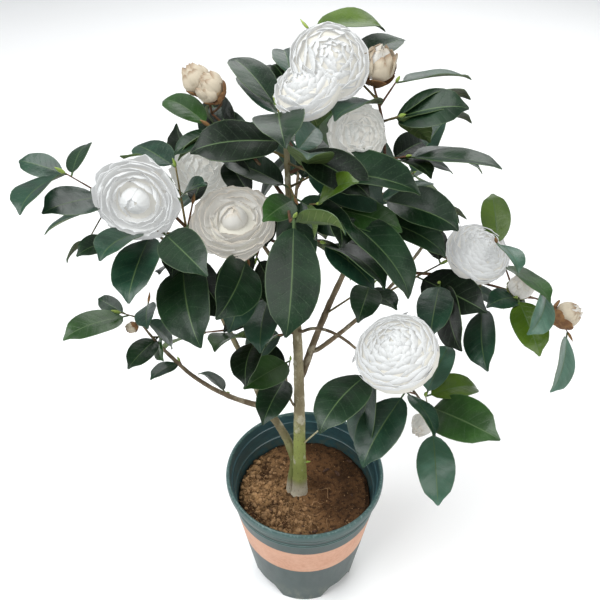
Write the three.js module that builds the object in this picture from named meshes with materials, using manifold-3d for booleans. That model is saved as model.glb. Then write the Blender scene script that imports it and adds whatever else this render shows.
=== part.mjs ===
// Potted camellia shrub: a plastic nursery pot on arched feet, its soil, a
// trunk with side stems and boughs, and the leafy masses that they carry.
// Millimetres, +Z up. The origin is the middle of the pot's flat underside.
import * as THREE from "three";
import { mergeVertices } from "three/addons/utils/BufferGeometryUtils.js";
import Module from "manifold-3d";

const wasm = await Module();
wasm.setup();

// ---- driving sizes ---------------------------------------------------------
const POT_HEIGHT = 186;
const POT_FOOT_RADIUS = 67;
const POT_NECK_RADIUS = 94;
const POT_NECK_HEIGHT = 174;
const POT_RIM_RADIUS = 97.5;
const POT_WALL = 2.5;
const POT_SEGMENTS = 32;
const INNER_STEPS = [153, 172];       // ledges where the inside widens
const INNER_STEP = 1.2;

const WELL_RADIUS = 50;               // flat disc that the pot stands on
const GUTTER_HEIGHT = 24;             // raised ring floor round that disc
const FLOOR = 2.8;
const ARCH_COUNT = 4;
const ARCH_WIDTH = 52;
const ARCH_TOP_WIDTH = 34;
const ARCH_HEIGHT = 22;
const ARCH_FIRST = 42;                // degrees, bearing of the first arch
const DRAIN_COUNT = 8;
const DRAIN_RADIUS = 4.5;

const SOIL_TOP = 143;
const SOIL_EDGE_GAP = 2.2;            // the root ball has shrunk from the wall
const SOIL_SEGMENTS = 24;
const FIT = 0.3;                      // clearance between neighbouring solids

const FLARE_REACH = 11;               // height over which the root flare fades
const FLARE_PROUD = 4.2;
const FLARE_LOBES = 5;

const SMALL_MASS = 97;                // a mass under this size has fewer facets
const MASS_UNEVEN = 0.17;             // how far lumps stand out, as a fraction
const MASS_FIT = 0.8;                 // clearance between neighbouring masses

// ---- finishes --------------------------------------------------------------
const finish = (color, roughness) => new THREE.MeshStandardMaterial({ color, roughness, metalness: 0 });
const POT_PLASTIC = finish("#3d5857", 0.42);
const SOIL = finish("#6b4a33", 0.95);
const BARK = finish("#9a9272", 0.8);
const TWIG_BARK = finish("#6a5140", 0.8);
const FOLIAGE = finish("#2c4a38", 0.45);

// ---- the limbs: each walks out from a point on its parent -------------------
// heading and climb are in degrees at its foot and its tip, length and radii in
// millimetres; at is the place on the parent as a fraction of its length.
const LIMBS = [
  { name: "stem_left", on: "trunk", at: 0.015, heading: [140, 172], climb: [88, 53],
    length: 142, radii: [6.4, 4.6] },
  { name: "stem_mid_left", on: "stem_left", at: 0.97, heading: [155, 262], climb: [73, 73],
    length: 284, radii: [4.2, 1.8] },
  { name: "bough_low_left", on: "stem_left", at: 0.98, heading: [200, 190], climb: [31, 78],
    length: 214, radii: [3.6, 1.5] },
  { name: "bough_left_tip", on: "stem_mid_left", at: 0.84, heading: [193, 193], climb: [45, 32],
    length: 103, radii: [1.8, 1.2] },
  { name: "bough_thin_left", on: "trunk", at: 0.286, heading: [208, 247], climb: [61, 90],
    length: 77, radii: [1.6, 1.1] },
  { name: "fork_right", on: "trunk", at: 0.38, heading: [44, 21], climb: [68, 63],
    length: 187, radii: [4.8, 2.4] },
  { name: "bough_right", on: "fork_right", at: 0.2, heading: [11, 8], climb: [34, 63],
    length: 176, radii: [3.1, 1.6] },
  { name: "bough_far_right", on: "bough_right", at: 0.8, heading: [-7, -5], climb: [4, -30],
    length: 162, radii: [1.8, 1.2] },
  { name: "bough_arch", on: "trunk", at: 0.527, heading: [-54, -59], climb: [55, 1],
    length: 121, radii: [1.9, 1.4] },
  { name: "bough_low_right", on: "bough_arch", at: 0.97, heading: [-16, 32], climb: [-27, -73],
    length: 121, radii: [1.5, 1.1] },
  { name: "bough_top_right", on: "fork_right", at: 0.97, heading: [-36, 16], climb: [65, 109],
    length: 158, radii: [2.1, 1.3] },
  { name: "bough_centre_left", on: "trunk", at: 0.742, heading: [223, 205], climb: [46, 28],
    length: 64, radii: [1.8, 1.3] },
  { name: "bough_centre_front", on: "trunk", at: 0.81, heading: [268, 274], climb: [51, 10],
    length: 95, radii: [1.7, 1.2] },
  { name: "bough_upper_left", on: "trunk", at: 0.84, heading: [148, 172], climb: [51, 42],
    length: 110, radii: [1.9, 1.2] },
  { name: "bough_upper_right", on: "trunk", at: 0.9, heading: [-11, 27], climb: [38, 7],
    length: 73, radii: [1.8, 1.3] },
  { name: "bough_back_left", on: "trunk", at: 0.6, heading: [114, 146], climb: [38, 23],
    length: 139, radii: [2.8, 1.5] },
  { name: "bough_back", on: "trunk", at: 0.72, heading: [88, 83], climb: [44, 15],
    length: 123, radii: [2.4, 1.4] },
  { name: "bough_back_right", on: "fork_right", at: 0.82, heading: [62, 47], climb: [36, 24],
    length: 93, radii: [1.9, 1.3] },
];
const LIMB_SIDES = 6;
const LIMB_STEPS = 6;
const TRUNK = { name: "trunk", start: [-6, 0, SOIL_TOP + FIT], heading: [319, 91], climb: [91, 85],
  length: 498, radii: [9, 2.2] };
const TRUNK_SIDES = 10;
const TRUNK_STEPS = 18;
const TRUNK_CROWDING = 1.7;           // its rings crowd towards the root flare

// ---- the foliage masses: bearing and distance from the pot's axis, height,
// full sizes outwards, across and up, and how far the outer end droops -------
const MASSES = [
  { name: "foliage_top", bearing: 48, out: 27, height: 689, size: [80, 74, 74], droop: 0 },
  { name: "foliage_top_front", bearing: 180, out: 12, height: 662, size: [98, 78, 60], droop: 0 },
  { name: "foliage_top_back", bearing: 60, out: 66, height: 698, size: [100, 92, 50], droop: 6 },
  { name: "foliage_top_right", bearing: 25, out: 84, height: 668, size: [64, 60, 48], droop: 0 },
  { name: "foliage_upper_left", bearing: 160, out: 98, height: 600, size: [116, 96, 62], droop: 8 },
  { name: "foliage_upper_left_tip", bearing: 165, out: 82, height: 662, size: [96, 62, 52], droop: 4 },
  { name: "foliage_upper_right", bearing: 10, out: 112, height: 650, size: [96, 74, 50], droop: 4 },
  { name: "foliage_right_shelf", bearing: 5, out: 127, height: 602, size: [98, 78, 44], droop: 8 },
  { name: "foliage_centre_right", bearing: -6, out: 48, height: 614, size: [100, 84, 64], droop: 0 },
  { name: "foliage_centre", bearing: -40, out: 36, height: 556, size: [84, 76, 66], droop: 0 },
  { name: "foliage_right_mid", bearing: -8, out: 106, height: 560, size: [108, 82, 52], droop: 12 },
  { name: "foliage_core", bearing: -28, out: 62, height: 504, size: [98, 64, 90], droop: 20 },
  { name: "foliage_right_outer", bearing: 0, out: 169, height: 508, size: [90, 88, 82], droop: 0 },
  { name: "foliage_right_spur", bearing: 3, out: 200, height: 556, size: [40, 40, 66], droop: 0 },
  { name: "foliage_right_hanging", bearing: -10, out: 149, height: 447, size: [90, 58, 78], droop: 10 },
  { name: "foliage_far_right", bearing: 1, out: 220, height: 456, size: [70, 64, 90], droop: 15 },
  { name: "foliage_far_right_tip", bearing: 0, out: 261, height: 402, size: [42, 48, 108], droop: 8 },
  { name: "foliage_front_right", bearing: -55, out: 132, height: 484, size: [84, 86, 82], droop: 0 },
  { name: "foliage_front_right_low", bearing: -57, out: 113, height: 404, size: [64, 96, 78], droop: 0 },
  { name: "foliage_low_right", bearing: -30, out: 168, height: 350, size: [98, 66, 168], droop: 8 },
  { name: "foliage_centre_front", bearing: 260, out: 90, height: 540, size: [48, 62, 120], droop: 12 },
  { name: "foliage_centre_left", bearing: 206, out: 70, height: 563, size: [88, 84, 84], droop: 0 },
  { name: "foliage_centre_left_low", bearing: 220, out: 77, height: 485, size: [64, 48, 96], droop: 10 },
  { name: "foliage_left_outer", bearing: 197, out: 148, height: 590, size: [98, 92, 88], droop: 0 },
  { name: "foliage_left_tip", bearing: 184, out: 215, height: 592, size: [92, 92, 62], droop: 0 },
  { name: "foliage_left_under", bearing: 191, out: 170, height: 522, size: [88, 62, 74], droop: 6 },
  { name: "foliage_left_hanging", bearing: 199, out: 121, height: 474, size: [62, 58, 96], droop: 5 },
  { name: "foliage_low_left", bearing: 184, out: 156, height: 410, size: [86, 72, 48], droop: 12 },
  { name: "foliage_low_left_tip", bearing: 187, out: 200, height: 448, size: [82, 62, 40], droop: 10 },
  { name: "foliage_inner_left", bearing: 218, out: 55, height: 382, size: [76, 96, 80], droop: 10 },
  { name: "foliage_back_left", bearing: 136, out: 138, height: 510, size: [126, 104, 74], droop: 12 },
  { name: "foliage_back", bearing: 92, out: 126, height: 552, size: [122, 128, 76], droop: 10 },
  { name: "foliage_back_right", bearing: 48, out: 150, height: 515, size: [126, 104, 74], droop: 12 },
];

// ---- helpers ----------------------------------------------------------------
const radians = THREE.MathUtils.degToRad;

function toSolid(geometry) {
  const bare = geometry.index ? geometry.toNonIndexed() : geometry.clone();
  bare.deleteAttribute("normal");
  bare.deleteAttribute("uv");
  const merged = mergeVertices(bare, 1e-3);
  const vertProperties = new Float32Array(merged.attributes.position.array);
  const triVerts = new Uint32Array(merged.index.array);
  return new wasm.Manifold(new wasm.Mesh({ numProp: 3, vertProperties, triVerts }));
}

function toGeometry(solid) {
  const mesh = solid.getMesh();
  const geometry = new THREE.BufferGeometry();
  geometry.setAttribute("position", new THREE.BufferAttribute(mesh.vertProperties, 3));
  geometry.setIndex(new THREE.BufferAttribute(mesh.triVerts, 1));
  geometry.computeVertexNormals();
  return geometry;
}

function largest(solid) {
  const pieces = solid.decompose();
  return pieces.reduce((best, piece) => (piece.volume() > best.volume() ? piece : best));
}

function around(count, first, make) {
  return Array.from({ length: count }, (_, i) => make(radians(first + (360 * i) / count)));
}

// A smooth, repeatable unevenness of a direction, between about -1 and 1.
function lumps(x, y, z, phase) {
  return (
    0.45 * Math.sin(2.9 * x + 1.9 * y + phase) +
    0.35 * Math.sin(3.6 * y - 2.7 * z + 2.1 * phase) +
    0.3 * Math.sin(4.9 * z + 4.2 * x + 3.3 * phase)
  );
}

// ---- pot ----------------------------------------------------------------------
function wallRadius(height) {
  return THREE.MathUtils.lerp(POT_FOOT_RADIUS, POT_NECK_RADIUS, height / POT_NECK_HEIGHT);
}

function potProfile() {
  const gutterTop = GUTTER_HEIGHT + FLOOR;
  const outline = [
    [0, 0], [WELL_RADIUS, 0], [WELL_RADIUS, GUTTER_HEIGHT],
    [wallRadius(GUTTER_HEIGHT) - POT_WALL, GUTTER_HEIGHT], [POT_FOOT_RADIUS - POT_WALL, 0],
    [POT_FOOT_RADIUS, 0],
  ];
  const rimBase = POT_NECK_HEIGHT + 2;
  outline.push([POT_NECK_RADIUS, POT_NECK_HEIGHT], [POT_RIM_RADIUS, rimBase]);
  outline.push([POT_RIM_RADIUS, POT_HEIGHT - 2.5], [POT_RIM_RADIUS - 2.2, POT_HEIGHT]);
  outline.push([POT_RIM_RADIUS - 4.2, POT_HEIGHT - 0.4], [POT_RIM_RADIUS - 5, POT_HEIGHT - 2.4]);
  for (const height of [...INNER_STEPS].reverse()) {
    const inside = wallRadius(height) - POT_WALL;
    outline.push([inside, height + 0.8], [inside - INNER_STEP, height - 0.8]);
  }
  outline.push([wallRadius(gutterTop) - POT_WALL, gutterTop], [WELL_RADIUS - POT_WALL, gutterTop]);
  outline.push([WELL_RADIUS - POT_WALL, FLOOR], [0, FLOOR]);
  return outline.map(([r, z]) => new THREE.Vector2(r, z));
}

// A lathe turns about +Y; this stands its axis up along +Z.
function turned(profile, segments) {
  return new THREE.LatheGeometry(profile, segments).rotateX(Math.PI / 2);
}

function archCutter(angle) {
  const shape = new THREE.Shape();
  shape.moveTo(-ARCH_WIDTH / 2, -1);
  shape.lineTo(ARCH_WIDTH / 2, -1);
  shape.lineTo(ARCH_TOP_WIDTH / 2, ARCH_HEIGHT - 3);
  shape.quadraticCurveTo(ARCH_TOP_WIDTH / 2 - 2, ARCH_HEIGHT, ARCH_TOP_WIDTH / 2 - 5, ARCH_HEIGHT);
  shape.lineTo(5 - ARCH_TOP_WIDTH / 2, ARCH_HEIGHT);
  shape.quadraticCurveTo(2 - ARCH_TOP_WIDTH / 2, ARCH_HEIGHT, -ARCH_TOP_WIDTH / 2, ARCH_HEIGHT - 3);
  const depth = 24;
  const cutter = new THREE.ExtrudeGeometry(shape, { depth, bevelEnabled: false, curveSegments: 3 });
  cutter.rotateX(Math.PI / 2).translate(0, WELL_RADIUS + 6 + depth, 0);
  return toSolid(cutter.rotateZ(angle - Math.PI / 2));
}

function drainCutter(angle) {
  const hole = new THREE.CylinderGeometry(DRAIN_RADIUS, DRAIN_RADIUS, 4 * FLOOR, 8);
  hole.rotateX(Math.PI / 2);
  const ring = (WELL_RADIUS + wallRadius(GUTTER_HEIGHT) - POT_WALL) / 2;
  return toSolid(hole.translate(ring * Math.cos(angle), ring * Math.sin(angle), GUTTER_HEIGHT));
}

function makePot() {
  const body = toSolid(turned(potProfile(), POT_SEGMENTS));
  const cutters = [
    ...around(ARCH_COUNT, ARCH_FIRST, archCutter),
    ...around(DRAIN_COUNT, 0, drainCutter),
  ];
  return cutters.reduce((solid, cutter) => solid.subtract(cutter), body);
}

// ---- soil -----------------------------------------------------------------------
function makeSoil() {
  const gutterTop = GUTTER_HEIGHT + FLOOR + FIT;
  const inside = (height) => wallRadius(height) - POT_WALL - INNER_STEP - 1;
  const well = WELL_RADIUS - POT_WALL - 3 * FIT;
  const crest = inside(SOIL_TOP) - SOIL_EDGE_GAP;
  const shoulder = SOIL_TOP - 22;
  const profile = [
    [0, FLOOR + FIT], [well, FLOOR + FIT], [well, gutterTop], [inside(gutterTop), gutterTop],
    [inside(shoulder), shoulder], [crest, SOIL_TOP - 3.5], [crest - 5, SOIL_TOP - 0.5],
    [crest * 0.72, SOIL_TOP], [crest * 0.42, SOIL_TOP], [20, SOIL_TOP], [0, SOIL_TOP],
  ].map(([r, z]) => new THREE.Vector2(r, z));
  const geometry = turned(profile, SOIL_SEGMENTS);
  const points = geometry.attributes.position;
  for (let i = 0; i < points.count; i += 1) {
    const [x, y, z] = [points.getX(i), points.getY(i), points.getZ(i)];
    const spread = THREE.MathUtils.smoothstep(Math.hypot(x, y), 22, 60);
    const onTop = z > SOIL_TOP - 10 ? 1 : 0;
    points.setZ(i, z + onTop * spread * 2.2 * lumps(x / 30, y / 30, 0, 1.3));
  }
  return toSolid(geometry);
}

// ---- trunk and limbs ---------------------------------------------------------------
class LimbPath extends THREE.Curve {
  constructor(start, limb) {
    super();
    this.points = [new THREE.Vector3(...start)];
    const steps = 24;
    for (let i = 0; i < steps; i += 1) {
      const t = (i + 0.5) / steps;
      const heading = radians(THREE.MathUtils.lerp(...limb.heading, t));
      const climb = radians(THREE.MathUtils.lerp(...limb.climb, t));
      const level = Math.cos(climb);
      const step = new THREE.Vector3(
        level * Math.cos(heading), level * Math.sin(heading), Math.sin(climb));
      this.points.push(this.points[i].clone().addScaledVector(step, limb.length / steps));
    }
  }

  getPoint(t, target = new THREE.Vector3()) {
    const place = THREE.MathUtils.clamp(t, 0, 1) * (this.points.length - 1);
    const i = Math.min(Math.floor(place), this.points.length - 2);
    return target.lerpVectors(this.points[i], this.points[i + 1], place - i);
  }
}

// A closed cylinder bent along the path, its rings carried square to it.
function limbSolid(path, radiusAt, sides, steps, crowding = 1) {
  const tube = new THREE.CylinderGeometry(1, 1, 1, sides, steps);
  const tangent = path.getTangentAt(0);
  const side = new THREE.Vector3(tangent.z, tangent.x, tangent.y);
  const rings = Array.from({ length: steps + 1 }, (_, ring) => {
    const along = (ring / steps) ** crowding;
    path.getTangentAt(along, tangent);
    side.addScaledVector(tangent, -side.dot(tangent)).normalize();
    return { along, middle: path.getPointAt(along), side: side.clone(), up: tangent.clone().cross(side) };
  });
  const points = tube.attributes.position;
  for (let i = 0; i < points.count; i += 1) {
    const [x, y] = [points.getX(i), points.getZ(i)];
    const { along, middle, side: across, up } = rings[Math.round((points.getY(i) + 0.5) * steps)];
    const radius = radiusAt(along, Math.atan2(y, x));
    const place = middle.clone().addScaledVector(across, x * radius).addScaledVector(up, -y * radius);
    points.setXYZ(i, place.x, place.y, place.z);
  }
  return toSolid(tube);
}

const taper = ([foot, tip], along) => foot + (tip - foot) * along ** 0.8;

function trunkRadius(along, turn) {
  const flare = Math.exp((-along * TRUNK.length) / FLARE_REACH);
  const lobes = 0.7 + 0.3 * Math.sin(FLARE_LOBES * turn + 0.6);
  return taper(TRUNK.radii, along) + FLARE_PROUD * flare * lobes;
}

function makeTrunk(grow) {
  const path = new LimbPath(TRUNK.start, TRUNK);
  const radiusAt = (along, turn) => trunkRadius(along, turn) + grow;
  return limbSolid(path, radiusAt, TRUNK_SIDES, TRUNK_STEPS, TRUNK_CROWDING);
}

// Trims a stem's foot level with the soil.
function levelFoot(solid) {
  return solid.trimByPlane([0, 0, 1], SOIL_TOP + FIT);
}

function makeLimbs() {
  const paths = { trunk: new LimbPath(TRUNK.start, TRUNK) };
  const solids = { trunk: levelFoot(makeTrunk(0)) };
  let taken = makeTrunk(FIT);
  for (const limb of LIMBS) {
    const path = new LimbPath(paths[limb.on].getPointAt(limb.at).toArray(), limb);
    const tube = (grow) =>
      limbSolid(path, (along) => taper(limb.radii, along) + grow, LIMB_SIDES, LIMB_STEPS);
    paths[limb.name] = path;
    solids[limb.name] = largest(levelFoot(tube(0)).subtract(taken));
    taken = taken.add(tube(FIT));
  }
  return { solids, taken };
}

// ---- foliage masses -------------------------------------------------------------------
function massSolid(mass, index, grow) {
  const geometry = new THREE.IcosahedronGeometry(1, Math.max(...mass.size) < SMALL_MASS ? 1 : 2);
  const points = geometry.attributes.position;
  const reach = mass.size.map((size) => size / 2);
  for (let i = 0; i < points.count; i += 1) {
    const [x, y, z] = [points.getX(i), points.getY(i), points.getZ(i)];
    const swell = 1 + MASS_UNEVEN * (lumps(x, y, z, 1.9 * index) - 0.35);
    points.setXYZ(i, x * (reach[0] * swell + grow), y * (reach[1] * swell + grow),
      z * (reach[2] * swell + grow));
  }
  const bearing = radians(mass.bearing);
  geometry.rotateY(radians(mass.droop)).rotateZ(bearing);
  geometry.translate(mass.out * Math.cos(bearing), mass.out * Math.sin(bearing), mass.height);
  return toSolid(geometry);
}

// Each mass gives way to the ones before it and to the trunk that runs up
// through them; a bough stops where it enters a mass.
function makeMasses(trunk) {
  const solids = {};
  let taken = trunk;
  MASSES.forEach((mass, index) => {
    solids[mass.name] = largest(massSolid(mass, index, 0).subtract(taken));
    taken = taken.add(massSolid(mass, index, MASS_FIT));
  });
  return { solids, taken };
}

// ---- the shrub ----------------------------------------------------------------------------
const shrub = new THREE.Group();

function add(name, solid, material) {
  const mesh = new THREE.Mesh(toGeometry(solid), material);
  mesh.name = name;
  shrub.add(mesh);
}

add("pot", makePot(), POT_PLASTIC);
add("soil", makeSoil(), SOIL);
const limbs = makeLimbs();
const masses = makeMasses(makeTrunk(MASS_FIT));
for (const [name, solid] of Object.entries(limbs.solids)) {
  const stem = name === "trunk" || name.startsWith("stem");
  const bare = name === "trunk" ? solid : largest(solid.subtract(masses.taken));
  add(name, bare, stem ? BARK : TWIG_BARK);
}
for (const [name, solid] of Object.entries(masses.solids)) add(name, solid, FOLIAGE);

export default shrub;
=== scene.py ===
"""Looks of a white double camellia in its nursery pot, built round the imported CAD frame.

The pot, the soil and every limb are finer meshes in the CAD solids' places. The foliage
solids give way to shoots that grow on from the limbs by a seeded rule, with leaves, blooms
and buds on them.
"""

import logging
import math
import random
from dataclasses import dataclass
from enum import Enum
from typing import Callable, Iterable, Sequence

import bmesh
import bpy
import numpy as np
from bmesh.types import BMEdge, BMesh, BMFace, BMVert
from bpy.types import ID, Material, Mesh, NodeSocket, Object
from mathutils import Matrix, Vector, noise


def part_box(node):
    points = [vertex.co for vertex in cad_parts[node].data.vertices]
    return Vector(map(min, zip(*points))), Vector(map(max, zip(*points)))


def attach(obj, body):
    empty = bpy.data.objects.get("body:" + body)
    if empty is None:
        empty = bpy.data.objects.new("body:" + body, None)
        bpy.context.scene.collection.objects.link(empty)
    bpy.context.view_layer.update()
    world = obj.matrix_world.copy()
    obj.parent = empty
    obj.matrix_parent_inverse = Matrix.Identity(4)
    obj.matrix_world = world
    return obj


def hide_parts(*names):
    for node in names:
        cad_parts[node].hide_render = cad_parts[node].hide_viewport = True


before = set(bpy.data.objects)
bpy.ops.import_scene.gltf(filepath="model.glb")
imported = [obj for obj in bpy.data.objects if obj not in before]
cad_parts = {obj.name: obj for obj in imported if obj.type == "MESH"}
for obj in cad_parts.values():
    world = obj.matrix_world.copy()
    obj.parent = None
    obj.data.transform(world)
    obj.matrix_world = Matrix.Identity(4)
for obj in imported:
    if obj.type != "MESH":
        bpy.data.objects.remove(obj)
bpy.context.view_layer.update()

LOG = logging.getLogger("camellia")
MM = 0.001
MERGE_GAP = 1e-6  # metres
FULL_TURN = 2 * math.pi
ANY_ANGLE = 6.28  # radians, where a draw of a free angle ends
GOLDEN = 137.5  # degrees from a leaf or petal to the next
UP = np.array([0.0, 0.0, 1.0])
LIGHT = np.array([-0.1, -0.42, 0.9])  # where the leaves turn their upper sides
ASKEW = np.array([0.13, 0.97, 0.21])  # a direction that no limb takes
BLADE_LAYER = "blade"  # the UV layer of leaves and petals: along, and across from 0 to 1

Relief = Callable[[np.ndarray, float, float], float]  # of the point, the angle and the run


# ---- small geometry helpers ----

def unit(vector: np.ndarray) -> np.ndarray:
    """Returns the vector at length 1."""
    return vector / max(float(np.linalg.norm(vector)), 1e-12)


def direction(heading: float, climb: float) -> np.ndarray:
    """Turns a heading and a climb into a unit vector.

    Args:
        heading: Degrees round the vertical from +X.
        climb: Degrees above the horizon.

    Returns:
        The unit vector.
    """
    turn, rise = math.radians(heading), math.radians(climb)
    level = math.cos(rise)
    return np.array([level * math.cos(turn), level * math.sin(turn), math.sin(rise)])


def mix(low: float, high: float, share: float) -> float:
    """Returns the value that lies the given share of the way from low to high."""
    return low + (high - low) * share


def smooth_step(low: float, high: float, value: float) -> float:
    """Returns 0 below low, 1 above high and a smooth rise between."""
    share = min(max((value - low) / (high - low), 0.0), 1.0)
    return share * share * (3 - 2 * share)


@dataclass
class Path:
    """A limb's centreline with a radius at each point, in metres."""

    points: np.ndarray
    radii: np.ndarray

    def lengths(self) -> np.ndarray:
        """Returns the running length at each point."""
        steps = np.linalg.norm(np.diff(self.points, axis=0), axis=1)
        return np.concatenate([[0.0], np.cumsum(steps)])

    def length(self) -> float:
        """Returns the whole length."""
        return float(self.lengths()[-1])

    def at(self, share: float) -> np.ndarray:
        """Finds the point a share of the way along.

        Args:
            share: From 0 at the foot to 1 at the tip.

        Returns:
            The point.
        """
        runs = self.lengths()
        place = min(max(share, 0.0), 1.0) * runs[-1]
        return np.array([np.interp(place, runs, self.points[:, i]) for i in range(3)])

    def radius(self, share: float) -> float:
        """Returns the radius a share of the way along."""
        runs = self.lengths()
        return float(np.interp(share * runs[-1], runs, self.radii))

    def tangent(self, share: float) -> np.ndarray:
        """Returns the unit direction a share of the way along."""
        near, far = max(share - 0.04, 0.0), min(share + 0.04, 1.0)
        return unit(self.at(far) - self.at(near))

    def resampled(self, count: int) -> "Path":
        """Returns the same path with evenly spaced points.

        Args:
            count: Number of points.

        Returns:
            The new path.
        """
        shares = np.linspace(0.0, 1.0, count)
        return Path(np.array([self.at(s) for s in shares]),
                    np.array([self.radius(s) for s in shares]))


def walk(
    start: np.ndarray, heading: float, climb: float, swing: float, bend: float,
    length: float, radii: tuple[float, float], steps: int = 10,
) -> Path:
    """Walks out a limb whose heading and climb change evenly along it.

    Args:
        start: Where the limb leaves its parent.
        heading: Degrees round the vertical at the foot.
        climb: Degrees above the horizon at the foot.
        swing: Change of heading to the tip.
        bend: Change of climb to the tip.
        length: Length in metres.
        radii: Radius at the foot and at the tip.
        steps: Number of straight steps.

    Returns:
        The limb's path.
    """
    points = [np.array(start, float)]
    for step in range(steps):
        share = (step + 0.5) / steps
        way = direction(heading + swing * share, climb + bend * share)
        points.append(points[-1] + way * (length / steps))
    shares = np.linspace(0.0, 1.0, steps + 1) ** 0.8
    return Path(np.array(points), radii[0] + (radii[1] - radii[0]) * shares)


def node_path(node: str, parent: Path | None, slices: int = 9, margin: float = 0.03) -> Path:
    """Reads the centreline of a CAD limb from slices across its solid.

    Args:
        node: The CAD node's name.
        parent: The limb it leaves, whose side is the foot; None for the trunk.
        slices: Number of slices.
        margin: How far the first and the last slice lie from the ends, as a share.

    Returns:
        The limb's path from foot to tip.
    """
    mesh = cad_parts[node].data
    corners = np.array([v.co for v in mesh.vertices], float)
    ends = np.array([e.vertices[:] for e in mesh.edges], int)
    middle = corners.mean(axis=0)
    axis = np.linalg.svd(corners - middle, full_matrices=False)[2][0]
    if parent is None:
        axis = axis if axis[2] > 0 else -axis
    else:
        far = [middle + axis * side * 0.5 * np.ptp(corners @ axis) for side in (-1, 1)]
        gaps = [np.linalg.norm(parent.points - end, axis=1).min() for end in far]
        axis = axis if gaps[0] < gaps[1] else -axis
    along = corners @ axis
    first, second = along[ends[:, 0]], along[ends[:, 1]]
    points, radii = [], []
    for share in np.linspace(margin, 1 - margin, slices):
        level = mix(along.min(), along.max(), share)
        cut = (first - level) * (second - level) < 0
        part = ((level - first[cut]) / (second[cut] - first[cut]))[:, None]
        ring = corners[ends[cut, 0]] * (1 - part) + corners[ends[cut, 1]] * part
        centre = (ring.min(axis=0) + ring.max(axis=0)) / 2
        points.append(centre)
        radii.append(np.sqrt(((ring - centre) ** 2).sum(axis=1)).mean())
    points, radii = np.array(points), np.array(radii)
    ways = np.gradient(points, axis=0)
    lean = np.abs(ways @ axis) / np.linalg.norm(ways, axis=1)
    last = unit(points[-1] - points[-2]) * np.ptp(along) * margin
    points = np.vstack([points, points[-1] + last])
    return Path(points, np.append(radii * lean, radii[-1] * lean[-1]))


# ---- shader helpers ----

def math_node(operation: str, reflected: bool = False) -> Callable[..., "Value"]:
    """Makes a method that adds a Math node.

    Args:
        operation: The node's operation.
        reflected: Whether the value itself stands last.

    Returns:
        The method.
    """

    def method(self: "Value", *others: "Value | float") -> "Value":
        """Returns the node's result."""
        values = (*others, self) if reflected else (self, *others)
        return self.maker.node("ShaderNodeMath", {"operation": operation}, values)

    return method


class Value:
    """A socket in a node tree that takes part in Python arithmetic."""

    __add__ = __radd__ = math_node("ADD")
    __sub__ = math_node("SUBTRACT")
    __rsub__ = math_node("SUBTRACT", reflected=True)
    __mul__ = __rmul__ = math_node("MULTIPLY")
    absolute = math_node("ABSOLUTE")
    sine = math_node("SINE")
    fraction = math_node("FRACT")

    def __init__(self, maker: "NodeMaker", socket: NodeSocket) -> None:
        """Keeps the socket and the maker whose tree holds it."""
        self.maker = maker
        self.socket = socket

    def ramp(self, low: float, high: float) -> "Value":
        """Returns a smooth rise from 0 at low to 1 at high."""
        settings = {"interpolation_type": "SMOOTHSTEP"}
        return self.maker.node("ShaderNodeMapRange", settings, (self, low, high, 0.0, 1.0))


def tone(code: str) -> tuple[float, float, float]:
    """Turns a hex colour such as "3d5857" into linear red, green and blue."""
    parts = [int(code[i:i + 2], 16) / 255 for i in (0, 2, 4)]
    return tuple(p / 12.92 if p <= 0.04045 else ((p + 0.055) / 1.055) ** 2.4 for p in parts)


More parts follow.
